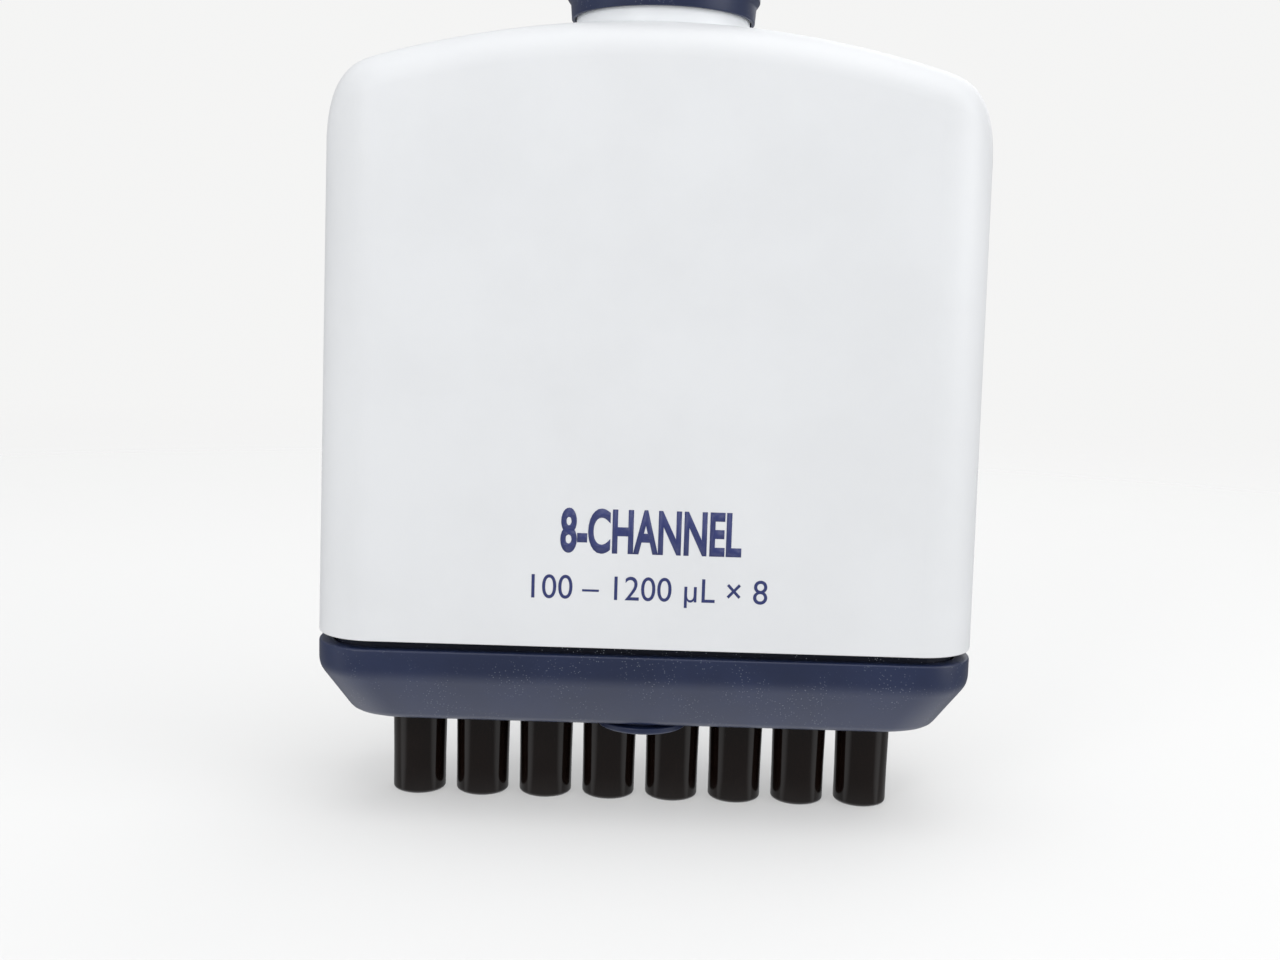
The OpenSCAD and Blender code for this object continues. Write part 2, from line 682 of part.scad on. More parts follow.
// Slot that the tab of the lock ring swings in
module lock_slot() {
    intersection() {
        tube(24, 10.6, lock_z0 - 0.3, lock_z1 + 0.3);
        translate([0, 0, lock_z0 - 1]) linear_extrude(height = 6)
            polygon([[0, 0], for (a = [156, 172, 189, 206]) [40 * cos(a), 40 * sin(a)]]);
    }
}

module handle_front_shell() {
    color("whitesmoke") difference() {
        handle_half(-1);
        // Opening for the display window
        translate([-window_w / 2 - 0.1, -20, window_z0 - 0.1]) cube([window_w + 0.2, 15, window_z1 - window_z0 + 0.2]);
        pad_block(0.1);
    }
}

pad_z0 = 130;
pad_z1 = 184;

module pad_block(grow) {
    difference() {
        translate([0, -20, (pad_z0 + pad_z1) / 2]) rotate([90, 0, 0]) linear_extrude(height = 14, center = true)
            polygon(round_rect(8 + grow, (pad_z1 - pad_z0) / 2 + grow, 6));
        handle_body(0.8 + grow, 122, 228);
    }
}

module grip_pad() {
    color("midnightblue") intersection() {
        pad_block(0);
        handle_body(-0.5, 122, 228);
    }
}

function shell_screw_y(z) = handle_at(z, 0)[2] * 0.92;

module handle_rear_shell() {
    color("whitesmoke") difference() {
        handle_half(1);
        // Way through the top for the ejector button's stem, and through the floor for the sleeve's arm
        translate([-4.4, 7.4, 220]) cube([8.8, 9, 20]);
        translate([-2.2, 0, 120]) cube([4.4, 11.8, 5]);
        for (s = [-1, 1], z = shell_screw_z) translate([s * shell_screw_x, shell_screw_y(z), z]) rotate([90, 0, 0]) {
            translate([0, 0, -5]) cylinder(r = 1, h = 12);
            translate([0, 0, -5]) cylinder(r = 2, h = 5.9);
        }
        hook_tongue(0.1);
    }
}

module shell_screws() {
    color("silver") for (s = [-1, 1], z = shell_screw_z) translate([s * shell_screw_x, shell_screw_y(z), z])
        rotate([-90, 0, 0]) screw(0.84, 6, 1.9, 0.9);
}

module hook_tongue(grow) {
    translate([-5 - grow, 14.5, hook_z - 6 - grow]) cube([10 + 2 * grow, 6, 12 + 2 * grow]);
}

// Side view of the hook: hollow for the finger, round tip, outer back and a flare at the root
hook_mid = hook_r + hook_t / 2;
hook_y = hook_reach - hook_mid * cos(15) - hook_t / 2;
hook_outline = concat(
    [[14, hook_z - 9]],
    arc(hook_y, hook_z - 10, hook_r, 170, 15, 14),
    arc(hook_y + hook_mid * cos(15), hook_z - 10 + hook_mid * sin(15), hook_t / 2, 195, 375, 8),
    arc(hook_y, hook_z - 10, hook_r + hook_t, 15, 100, 12),
    arc(hook_y - 5.6, hook_z + 14.2, 9, 288, 205, 8),
    [[14, hook_z + 11]]);

module finger_hook() {
    color("midnightblue") union() {
        difference() {
            translate([-hook_w / 2, 0, 0]) rotate([90, 0, 90]) linear_extrude(height = hook_w) polygon(hook_outline);
            handle_body(-0.05, 180, 228);
        }
        intersection() {
            hook_tongue(0);
            difference() {
                handle_body(-0.1, 180, 228);
                handle_body(shell_wall + 0.6, 178, 229);
            }
        }
    }
}

module display_window() {
    color([0.75, 0.85, 0.9, 0.5]) intersection() {
        difference() {
            handle_body(0.5, 180, 228);
            handle_body(1.7, 178, 229);
        }
        translate([-window_w / 2, -20, window_z0]) cube([window_w, 15, window_z1 - window_z0]);
    }
}

module top_collar() {
    color("midnightblue") rotate_extrude() polygon([
        [stem_r + 0.15, 222.2], [7.8, 222.2], [7.8, 225], [6.1, 225], [6.1, handle_z1 + 0.1], [7.4, handle_z1 + 0.1],
        [7.1, 232.4], [stem_r + 0.15, 232.4]]);
}

module lock_ring() {
    color("midnightblue") union() {
        tube(10.2, 8.1, lock_z0, lock_z1);
        rotate([0, 0, 168]) translate([9.8, -2.6, lock_z0]) cube([8.4, 5.2, lock_z1 - lock_z0]);
    }
}

module plunger_knob() {
    color("whitesmoke") difference() {
        rotate_extrude() polygon(concat(
            [[stem_r, knob_z0], [knob_r - 1.6, knob_z0], [knob_r - 0.6, knob_z0 + 1], [knob_r - 0.4, knob_z0 + 8]],
            arc(knob_r - 2.4, knob_z1 - 3.6, 2.4, 0, 90, 6), [[7, knob_z1 - 1.2], [7, knob_z1 - 2.4], [stem_r, knob_z1 - 2.4]]));
        for (k = [0:17]) rotate([0, 0, 20 * k]) translate([knob_r + 0.3, 0, knob_z0 + 1.6]) cylinder(r = 0.8, h = 7, $fn = 24);
    }
}

module knob_cap() {
    color("midnightblue") rotate_extrude() polygon([
        [0, knob_z1 - 2.35], [6.95, knob_z1 - 2.35], [6.95, knob_z1 - 0.9], [6.4, knob_z1 - 0.3], [3.5, knob_z1 - 0.1], [0, knob_z1]]);
}

module ejector_button() {
    color("midnightblue") union() {
        hull() {
            translate([0, 15.8, button_z0]) cylinder(r = 5.6, h = button_z1 - button_z0 - 1.2, $fn = 32);
            translate([0, 21.4, button_z0]) cylinder(r = 5, h = button_z1 - button_z0 - 1.2, $fn = 32);
            translate([0, 16.4, button_z0]) cylinder(r = 4.4, h = button_z1 - button_z0, $fn = 32);
            translate([0, 21, button_z0]) cylinder(r = 3.8, h = button_z1 - button_z0, $fn = 32);
        }
        translate([-3.8, 10.6, foot_z1 - 2]) cube([7.6, 5.2, button_z0 - foot_z1 + 2.5]);
        translate([-3, 8.3, foot_z1 - 2]) cube([6, 3, 2]);
    }
}

module ejector_rod() {
    color("silver") translate([0, rod_line_y, 0]) union() {
        rod(0.9, sleeve_z1 - 4, sleeve_z1 + 0.5);
        rod(1.3, sleeve_z1, foot_z1 - 2);
    }
}

module ejector_spring() {
    color("silver") translate([0, rod_line_y, 0]) coil_spring(1.7, 0.22, ledge_z1, foot_z1 - 2, 6, 5, 10);
}

module ejector_sleeve() {
    color("slategray") union() {
        tube(sleeve_r, sleeve_bore, sleeve_z0, sleeve_z1);
        difference() {
            translate([-2, 6.6, sleeve_z1 - 4]) cube([4, 5, 4]);
            translate([0, rod_line_y, 0]) rod(0.9, 120, 140);
        }
    }
}

front_cover();
rear_cover();
cover_screws();
base_plate();
manifold_block();
manifold_gasket();
cylinder_block();
piston_seals();
seal_plate();
seal_plate_screws();
guide_posts();
neck_collar();
for (i = [0:channels - 1]) tip_shaft(i);
shaft_o_rings();
skirt_springs();
ejector_skirt();
ejector_rods();
ejector_yoke();
piston_carriage();
piston_clamp();
clamp_screws();
rod_socket();
piston_row(-1);  // front_row_pistons
piston_row(1);  // rear_row_pistons
coupling_nut();
coupling_spigot();
inner_frame();
main_spring();
blow_out_spring();
blow_out_washer();
handle_front_shell();
handle_rear_shell();
shell_screws();
finger_hook();
grip_pad();
display_window();
top_collar();
ejector_spring();
ejector_button();
ejector_rod();
ejector_sleeve();
push_rod();
rod_collar();
drive_spindle();
plunger_knob();
knob_cap();
volume_screw();
stop_sleeve();
number_drum(2);  // thousands_drum
number_drum(1);  // hundreds_drum
number_drum(0);  // tens_drum
lock_ring();
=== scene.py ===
"""Looks of an eight-channel adjustable micropipette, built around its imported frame."""

from __future__ import annotations

import json
import logging
import math
from collections.abc import Callable, Iterator, Sequence
from contextlib import contextmanager
from dataclasses import dataclass, field
from enum import Enum

import bmesh
import bpy
from mathutils import Matrix, Vector

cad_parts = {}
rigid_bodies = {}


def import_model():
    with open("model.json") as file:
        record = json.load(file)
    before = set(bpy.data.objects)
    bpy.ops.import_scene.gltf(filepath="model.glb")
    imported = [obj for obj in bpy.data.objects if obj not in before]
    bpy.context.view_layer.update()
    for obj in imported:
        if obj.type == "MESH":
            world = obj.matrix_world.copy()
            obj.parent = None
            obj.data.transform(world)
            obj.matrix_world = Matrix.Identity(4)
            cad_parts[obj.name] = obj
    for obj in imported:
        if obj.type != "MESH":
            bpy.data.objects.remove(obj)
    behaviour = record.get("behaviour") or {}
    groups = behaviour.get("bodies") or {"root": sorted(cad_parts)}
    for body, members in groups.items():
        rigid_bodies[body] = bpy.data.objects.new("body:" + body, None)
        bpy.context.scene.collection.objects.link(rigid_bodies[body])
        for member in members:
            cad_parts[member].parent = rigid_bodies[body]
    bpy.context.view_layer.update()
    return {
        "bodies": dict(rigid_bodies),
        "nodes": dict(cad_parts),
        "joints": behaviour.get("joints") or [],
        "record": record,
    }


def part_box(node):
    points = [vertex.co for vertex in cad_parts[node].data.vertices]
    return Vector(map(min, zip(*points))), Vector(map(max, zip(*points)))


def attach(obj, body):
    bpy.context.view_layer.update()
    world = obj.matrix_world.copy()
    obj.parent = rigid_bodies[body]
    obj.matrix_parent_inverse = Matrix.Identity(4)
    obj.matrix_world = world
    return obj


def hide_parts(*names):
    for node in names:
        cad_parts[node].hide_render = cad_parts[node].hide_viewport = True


MM = 0.001
# Distances below which two places are taken as one, by exact steps and after a boolean
TINY = 1e-6
NEAR = 1e-5
CHANNELS = 8
log = logging.getLogger("micropipette")

Point = tuple[float, float]
Colour = tuple[float, float, float]
Piece = bpy.types.Object
Edge = bmesh.types.BMEdge


class Axis(Enum):
    """Directions that a round primitive may point along."""

    X = (0.0, math.pi / 2, 0.0)
    Y = (math.pi / 2, 0.0, 0.0)
    Z = (0.0, 0.0, 0.0)


class Cut(Enum):
    """What a boolean does with its tool."""

    AWAY = "DIFFERENCE"
    JOIN = "UNION"
    KEEP = "INTERSECT"


class Element(Enum):
    """Kinds of mesh element that can be selected."""

    VERT = "VERT"
    EDGE = "EDGE"
    FACE = "FACE"


# ---------------------------------------------------------------- modelling


class Bench:
    """Modelling steps that the pieces share, each one an operator or a modifier."""

    @staticmethod
    def clear() -> None:
        """Deselects every object."""
        bpy.ops.object.select_all(action="DESELECT")

    @staticmethod
    def whole_mesh() -> None:
        """Selects the whole mesh, in edit mode."""
        bpy.ops.mesh.select_all(action="SELECT")

    @staticmethod
    def activate(piece: Piece) -> None:
        """Makes one piece the only selected and the active one.

        Args:
            piece: the piece to work on.
        """
        Bench.clear()
        piece.select_set(True)
        bpy.context.view_layer.objects.active = piece

    @staticmethod
    def settle(name: str) -> Piece:
        """Names the new primitive and moves its place into its mesh.

        Args:
            name: name of the piece.

        Returns:
            The new piece.
        """
        piece = bpy.context.active_object
        piece.name = piece.data.name = name
        bpy.ops.object.transform_apply(location=True, rotation=True, scale=True)
        return piece

    @staticmethod
    def block(name: str, low: Sequence[float], high: Sequence[float]) -> Piece:
        """Adds a box.

        Args:
            name: name of the piece.
            low: lowest corner.
            high: highest corner.

        Returns:
            The new piece.
        """
        low, high = Vector(low), Vector(high)
        Bench.clear()
        bpy.ops.mesh.primitive_cube_add(size=1, location=(low + high) / 2, scale=high - low)
        return Bench.settle(name)

    @staticmethod
    def rod(
        name: str, radius: float, length: float, centre: Sequence[float], axis: Axis = Axis.Z, sides: int = 64
    ) -> Piece:
        """Adds a round bar.

        Args:
            name: name of the piece.
            radius: its radius.
            length: its length along the axis.
            centre: its middle.
            axis: the way it points.
            sides: how many sides it has.

        Returns:
            The new piece.
        """
        Bench.clear()
        bpy.ops.mesh.primitive_cylinder_add(
            vertices=sides, radius=radius, depth=length, location=centre, rotation=axis.value
        )
        return Bench.settle(name)

    @staticmethod
    @contextmanager
    def editing(piece: Piece) -> Iterator[None]:
        """Edit mode on one piece, with nothing selected to begin with.

        Args:
            piece: the piece to edit.

        Yields:
            Nothing. Edit mode ends with the block.
        """
        Bench.activate(piece)
        bpy.ops.object.mode_set(mode="EDIT")
        bpy.ops.mesh.select_all(action="DESELECT")
        yield
        bpy.ops.object.mode_set(mode="OBJECT")

    @staticmethod
    def pick(piece: Piece, kind: Element, test: Callable[[object], bool]) -> int:
        """Selects the elements that pass a test, and no others, in edit mode.

        Args:
            piece: the piece being edited.
            kind: what to select.
            test: takes a bmesh element and says whether it is wanted.

        Returns:
            How many were selected.
        """
        bpy.ops.mesh.select_mode(type=kind.value)
        bpy.ops.mesh.select_all(action="DESELECT")
        mesh = bmesh.from_edit_mesh(piece.data)
        elements = {Element.VERT: mesh.verts, Element.EDGE: mesh.edges, Element.FACE: mesh.faces}[kind]
        wanted = [element for element in elements if test(element)]
        for element in wanted:
            element.select_set(True)
        bmesh.update_edit_mesh(piece.data)
        return len(wanted)

    @staticmethod
    def extrude(shift: Sequence[float]) -> None:
        """Extrudes what is selected by a shift, in edit mode."""
        bpy.ops.mesh.extrude_region_move(TRANSFORM_OT_translate={"value": shift})

    @staticmethod
    def stretch(factors: Sequence[float], level: float) -> None:
        """Scales what is selected about the Z axis at a height, in edit mode."""
        bpy.ops.transform.resize(value=factors, center_override=(0, 0, level))

    @staticmethod
    def bevel(piece: Piece, test: Callable[[Edge], bool], width: float, segments: int = 3) -> None:
        """Rounds the edges that pass a test.

        Args:
            piece: the piece to round.
            test: says whether an edge is rounded.
            width: distance from the edge at which the round starts.
            segments: number of steps in the round.
        """
        with Bench.editing(piece):
            if Bench.pick(piece, Element.EDGE, test):
                bpy.ops.mesh.bevel(offset=width, segments=segments, profile=0.5, affect="EDGES", clamp_overlap=False)

    @staticmethod
    def tidy(piece: Piece, gap: float = TINY) -> None:
        """Merges doubled vertices and points the faces outwards."""
        with Bench.editing(piece):
            Bench.whole_mesh()
            bpy.ops.mesh.remove_doubles(threshold=gap)
            bpy.ops.mesh.dissolve_degenerate(threshold=gap)
            bpy.ops.mesh.normals_make_consistent(inside=False)

    @staticmethod
    def modify(piece: Piece, kind: str, **settings: object) -> None:
        """Adds a modifier with the given settings and applies it.

        Args:
            piece: the piece to change.
            kind: the modifier's type.
            settings: its settings by name.
        """
        Bench.activate(piece)
        modifier = piece.modifiers.new(kind.title(), kind)
        for key, value in settings.items():
            setattr(modifier, key, value)
        bpy.ops.object.modifier_apply(modifier=modifier.name)

    @staticmethod
    def boolean(piece: Piece, tool: Piece, cut: Cut) -> None:
        """Cuts, joins or trims a piece with a tool, and throws the tool away."""
        Bench.modify(piece, "BOOLEAN", object=tool, operation=cut.value, solver="EXACT")
        bpy.data.objects.remove(tool)

    @staticmethod
    def join(pieces: Sequence[Piece], name: str) -> Piece:
        """Joins several pieces into one, under a new name.

        Args:
            pieces: the pieces, which are used up.
            name: name of the joined piece.

        Returns:
            The joined piece.
        """
        Bench.activate(pieces[0])
        for piece in pieces:
            piece.select_set(True)
        bpy.ops.object.join()
        joined = bpy.context.active_object
        joined.name = joined.data.name = name
        return joined

    @staticmethod
    def copy(piece: Piece, name: str, shift: Sequence[float] = (0, 0, 0)) -> Piece:
        """Copies a piece with its own mesh, moved by a shift.

        Args:
            piece: the piece to copy.
            name: name of the copy.
            shift: how far the copy is moved.

        Returns:
            The copy.
        """
        twin = piece.copy()
        twin.data = piece.data.copy()
        twin.name = twin.data.name = name
        bpy.context.scene.collection.objects.link(twin)
        twin.data.transform(Matrix.Translation(Vector(shift)))
        return twin

    @staticmethod
    def half_shell(whole: Piece, name: str, side: int, wall: float) -> Piece:
        """Makes one half of a closed form, front at -1 or rear at 1, as a hollow shell.

        Args:
            whole: the closed form.
            name: name of the shell.
            side: -1 for the front, 1 for the rear.
            wall: thickness of the wall.

        Returns:
            The shell.
        """
        shell = Bench.copy(whole, name)
        with Bench.editing(shell):
            Bench.whole_mesh()
            bpy.ops.mesh.bisect(plane_co=(0, 0, 0), plane_no=(0, side, 0), clear_inner=True)
        Bench.modify(shell, "SOLIDIFY", thickness=wall, offset=-1, use_even_offset=True)
        return shell

    @staticmethod
    def move(piece: Piece, shift: Sequence[float], turn_z: float = 0.0) -> None:
        """Turns a piece about Z and moves it, in its mesh.

        Args:
            piece: the piece to move.
            shift: how far it is moved.
            turn_z: how far it is turned first, in radians.
        """
        Bench.activate(piece)
        piece.rotation_euler = (0, 0, turn_z)
        piece.location = shift
        bpy.ops.object.transform_apply(location=True, rotation=True, scale=True)

    @staticmethod
    def smooth(piece: Piece, degrees: float = 32.0) -> None:
        """Shades a piece smooth, with edges sharper than an angle left crisp."""
        Bench.activate(piece)
        bpy.ops.object.shade_smooth_by_angle(angle=math.radians(degrees))

    @staticmethod
    def _wire(name: str, points: Sequence[Vector]) -> Piece:
        """Draws a closed wire through points, one vertex extruded after another.

        Args:
            name: name of the piece.
            points: the wire's corners in order.

        Returns:
            The wire.
        """
        Bench.clear()
        bpy.ops.mesh.primitive_plane_add(size=MM, location=points[0])
        piece = Bench.settle(name)
        with Bench.editing(piece):
            bpy.ops.mesh.select_mode(type="VERT")
            Bench.whole_mesh()
            bpy.ops.mesh.merge(type="CENTER")
            for here, there in zip(points, [*points[1:], points[0]]):
                Bench.extrude(there - here)
            Bench.whole_mesh()
            bpy.ops.mesh.remove_doubles(threshold=TINY)
        return piece

    @staticmethod
    def slab(name: str, points: Sequence[Sequence[float]], through: Sequence[float]) -> Piece:
        """Fills a closed outline and draws it out into a solid.

        Args:
            name: name of the piece.
            points: corners of the outline, all in one plane.
            through: direction and length of the drawing out; nothing gives a bare face.

        Returns:
            The new piece.
        """
        piece = Bench._wire(name, [Vector(point) for point in points])
        with Bench.editing(piece):
            Bench.whole_mesh()
            bpy.ops.mesh.edge_face_add()
            if any(through):
                Bench.extrude(through)
                Bench.whole_mesh()
                bpy.ops.mesh.normals_make_consistent(inside=False)
        return piece

    @staticmethod
    def lathe(name: str, profile: Sequence[Point], steps: int = 96, centre: Point = (0.0, 0.0)) -> Piece:
        """Spins a closed outline of radius and height about an upright axis.

        Args:
            name: name of the piece.
            profile: points of the outline; points on the axis become poles.
            steps: number of steps in the full turn.
            centre: x and y of the axis.

        Returns:
            The new piece.
        """
        piece = Bench._wire(name, [Vector((r, 0, z)) for r, z in profile])
        with Bench.editing(piece):
            Bench.whole_mesh()
            bpy.ops.mesh.spin(steps=steps, angle=2 * math.pi, center=(0, 0, 0), axis=(0, 0, 1))
        Bench.tidy(piece)
        if centre != (0.0, 0.0):
            Bench.move(piece, (centre[0], centre[1], 0))
        Bench.smooth(piece)
        return piece

    @staticmethod
    def flute(piece: Piece, count: int, away: float, radius: float, low: float, high: float) -> None:
        """Cuts upright flutes round a turned piece.

        Args:
            piece: the piece to cut.
            count: number of flutes.
            away: distance of their middles from the axis, in millimetres.
            radius: radius of each flute, in millimetres.
            low: height of their lower ends, in millimetres.
            high: height of their upper ends, in millimetres.
        """
        away, radius, low, high = (value * MM for value in (away, radius, low, high))
        tools = []
        for k in range(count):
            turn = 2 * math.pi * k / count
            centre = (away * math.cos(turn), away * math.sin(turn), (low + high) / 2)
            tool = Bench.rod("flute", radius, high - low, centre, Axis.Z, 16)
            Bench.bevel(tool, lambda e: abs(e.verts[0].co.z - e.verts[1].co.z) < TINY, radius * 0.4, 2)
            tools.append(tool)
        Bench.boolean(piece, Bench.join(tools, "flutes"), Cut.AWAY)
        Bench.smooth(piece, 35)


def runs(letter: str) -> Callable[[Edge], bool]:
    """Test for edges whose ends lie more than a millimetre apart along one axis."""
    k = "xyz".index(letter)
    return lambda edge: abs(edge.verts[0].co[k] - edge.verts[1].co[k]) > MM


def arc(centre: Point, radius: float, start: float, end: float, steps: int) -> list[Point]:
    """Points of an arc, its angles in degrees."""
    turns = [math.radians(start + (end - start) * k / steps) for k in range(steps + 1)]
    return [(centre[0] + radius * math.cos(turn), centre[1] + radius * math.sin(turn)) for turn in turns]


def round_rectangle(half_width: float, half_height: float, radius: float, steps: int = 6) -> list[Point]:
    """Outline of a rectangle with round corners, about the origin.

    Args:
        half_width: half of its width.
        half_height: half of its height.
        radius: radius of the corners.
        steps: steps of each corner.

    Returns:
        The points in order.
    """
    w, h = half_width - radius, half_height - radius
    corners = (((w, h), 0), ((-w, h), 90), ((-w, -h), 180), ((w, -h), 270))
    return [point for centre, turn in corners for point in arc(centre, radius, turn, turn + 90, steps)]


def fillet(corners: Sequence[tuple[float, float, float]], steps: int = 5) -> list[Point]:
    """Rounds the corners of a closed outline.

    Args:
        corners: first coordinate, second coordinate and fillet radius of each corner, in millimetres.
        steps: points in each round, less one.

    Returns:
        The points of the rounded outline, in metres.
    """
    corners = [tuple(value * MM for value in corner) for corner in corners]
    outline: list[Point] = []
    for before, here, after in zip([corners[-1], *corners[:-1]], corners, [*corners[1:], corners[0]]):
        corner, radius = Vector(here[:2]), here[2]
        if radius <= 0:
            outline.append((corner.x, corner.y))
            continue
        back = (Vector(before[:2]) - corner).normalized()
        ahead = (Vector(after[:2]) - corner).normalized()
        half = back.angle(ahead) / 2
        centre = corner + (back + ahead).normalized() * radius / math.sin(half)
        start = corner + back * radius / math.tan(half) - centre
        end = corner + ahead * radius / math.tan(half) - centre
        turn = start.angle_signed(end)
        for k in range(steps + 1):
            spoke = start.copy()
            spoke.rotate(Matrix.Rotation(-turn * k / steps, 2))
            outline.append(tuple(centre + spoke))
    return outline


def box_mm(node: str) -> tuple[Vector, Vector]:
    """Lowest and highest corner of a frame node, in millimetres."""
    low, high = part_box(node)
    return low / MM, high / MM


# ---------------------------------------------------------------- shaders


class Value:
    """A number socket that can be used in ordinary arithmetic."""

    def __init__(self, graph: Graph, socket: bpy.types.NodeSocket) -> None:
        """Wraps a socket of a graph."""
        self.graph, self.socket = graph, socket

    def _maths(self, operation: str, *operands: Value | float) -> Value:
        """Adds one Math node and returns its result."""
        node = self.graph.node("ShaderNodeMath", {"operation": operation}, dict(enumerate(operands)))
        return Value(self.graph, node.outputs[0])

    def __add__(self, other: Value | float) -> Value:
        """Sum."""
        return self._maths("ADD", self, other)

    def __radd__(self, other: float) -> Value:
        """Sum with a number on the left."""
        return self._maths("ADD", other, self)

    def __sub__(self, other: Value | float) -> Value:
        """Difference."""
        return self._maths("SUBTRACT", self, other)

    def __rsub__(self, other: float) -> Value:
        """Difference from a number."""
        return self._maths("SUBTRACT", other, self)

    def __mul__(self, other: Value | float) -> Value:
        """Product."""
        return self._maths("MULTIPLY", self, other)

    def __rmul__(self, other: float) -> Value:
        """Product with a number on the left."""
        return self._maths("MULTIPLY", other, self)

    def __pow__(self, other: float) -> Value:
        """Power."""
        return self._maths("POWER", self, other)

    def size(self) -> Value:
        """Value without its sign."""
        return self._maths("ABSOLUTE", self)

    def at_most(self, other: Value | float) -> Value:
        """Smaller of two."""
        return self._maths("MINIMUM", self, other)

    def at_least(self, other: Value | float) -> Value:
        """Larger of two."""
        return self._maths("MAXIMUM", self, other)

    def step(self, low: float, high: float) -> Value:
        """Smooth rise from 0 at low to 1 at high."""
        node = self.graph.node(
            "ShaderNodeMapRange",
            {"interpolation_type": "SMOOTHSTEP"},
            {"Value": self, "From Min": low, "From Max": high, "To Min": 0.0, "To Max": 1.0},
        )
        return Value(self.graph, node.outputs["Result"])


class Graph:
    """The node tree of one procedural material."""

    def __init__(self, name: str) -> None:
        """Starts an empty material.

        Args:
            name: name of the material.
        """
        self.material = bpy.data.materials.new(name)
        self.material.use_nodes = True
        self._start(self.material.node_tree)

    def _start(self, tree: bpy.types.NodeTree) -> None:
        """Takes over a tree and empties it.

        Args:
            tree: the tree to fill.
        """
        self.tree = tree
        self.tree.nodes.clear()
        self._place: bpy.types.NodeSocket | None = None

    @classmethod
    def of_tree(cls, tree: bpy.types.NodeTree) -> Graph:
        """Wraps the tree of something that is not a material.

        Args:
            tree: the tree to fill.

        Returns:
            The graph of that tree.
        """
        graph = cls.__new__(cls)
        graph._start(tree)
        return graph

    def node(self, kind: str, settings: dict | None = None, inputs: dict | None = None) -> bpy.types.Node:
        """Adds a node.

        Args:
            kind: the node's type.
            settings: the node's own settings.
            inputs: value, colour or link for each input, by name or number.

        Returns:
            The new node.
        """
        made = self.tree.nodes.new(kind)
        for key, value in (settings or {}).items():
            setattr(made, key, value)
        for key, value in (inputs or {}).items():
            socket = made.inputs[key]
            if isinstance(value, Value):
                value = value.socket
            if isinstance(value, bpy.types.NodeSocket):
                self.tree.links.new(value, socket)
            elif socket.type == "RGBA":
                socket.default_value = (*value[:3], 1.0)
            else:
                socket.default_value = value
        return made

    @property
    def place(self) -> bpy.types.NodeSocket:
        """Position on the piece, in metres."""
        if self._place is None:
            self._place = self.node("ShaderNodeTexCoord").outputs["Object"]
        return self._place

    def axis(self, letter: str) -> Value:
        """One coordinate of the position."""
        return Value(self, self.node("ShaderNodeSeparateXYZ", inputs={0: self.place}).outputs[letter])

    def stretched(self, scale: Sequence[float]) -> bpy.types.NodeSocket:
        """Position with each axis scaled."""
        return self.node("ShaderNodeMapping", inputs={"Vector": self.place, "Scale": scale}).outputs[0]

    def noise(
        self, scale: float, detail: float = 3.0, rough: float = 0.55, vector: bpy.types.NodeSocket | None = None
    ) -> Value:
        """Cloudy noise.

        Args:
            scale: cells in a metre.
            detail: octaves.
            rough: weight of the finer octaves.
            vector: position to use instead of the plain one.

        Returns:
            A value about 0.5.
        """
        made = self.node(
            "ShaderNodeTexNoise",
            inputs={"Vector": vector or self.place, "Scale": scale, "Detail": detail, "Roughness": rough},
        )
        return Value(self, made.outputs[0])

    def dots(self, scale: float, size: float) -> Value:
        """Scattered round specks: 1 inside a speck, 0 outside."""
        made = self.node("ShaderNodeTexVoronoi", inputs={"Vector": self.place, "Scale": scale, "Randomness": 1.0})
        return 1 - Value(self, made.outputs["Distance"]).step(size * 0.6, size)

    def mix(self, mask: Value | float, one: object, two: object) -> bpy.types.NodeSocket:
        """Colour that goes from one to two as the mask rises."""
        made = self.node("ShaderNodeMix", {"data_type": "RGBA", "clamp_factor": True}, {0: mask, 6: one, 7: two})
        return made.outputs[2]

    def bump(self, height: Value, depth: float) -> bpy.types.NodeSocket:
        """Normal for a height that runs from 0 to 1 over a depth in metres."""
        made = self.node("ShaderNodeBump", inputs={"Height": height, "Distance": depth, "Strength": 1.0})
        return made.outputs[0]

    def surface(self, **inputs: object) -> bpy.types.Material:
        """Ends the graph in a Principled shader with the given inputs, underscores read as spaces.

        Args:
            inputs: values or links of the shader's sockets.

        Returns:
            The finished material.
        """
        shader = self.node("ShaderNodeBsdfPrincipled", inputs={k.replace("_", " "): v for k, v in inputs.items()})
        self.node("ShaderNodeOutputMaterial", inputs={"Surface": shader.outputs[0]})
        return self.material


@dataclass(frozen=True)
class Finish:
    """What every finish has: the slot that it serves and its main colour."""

    name: str
    colour: Colour

    def make(self) -> bpy.types.Material:
        """Builds the material."""
        raise NotImplementedError


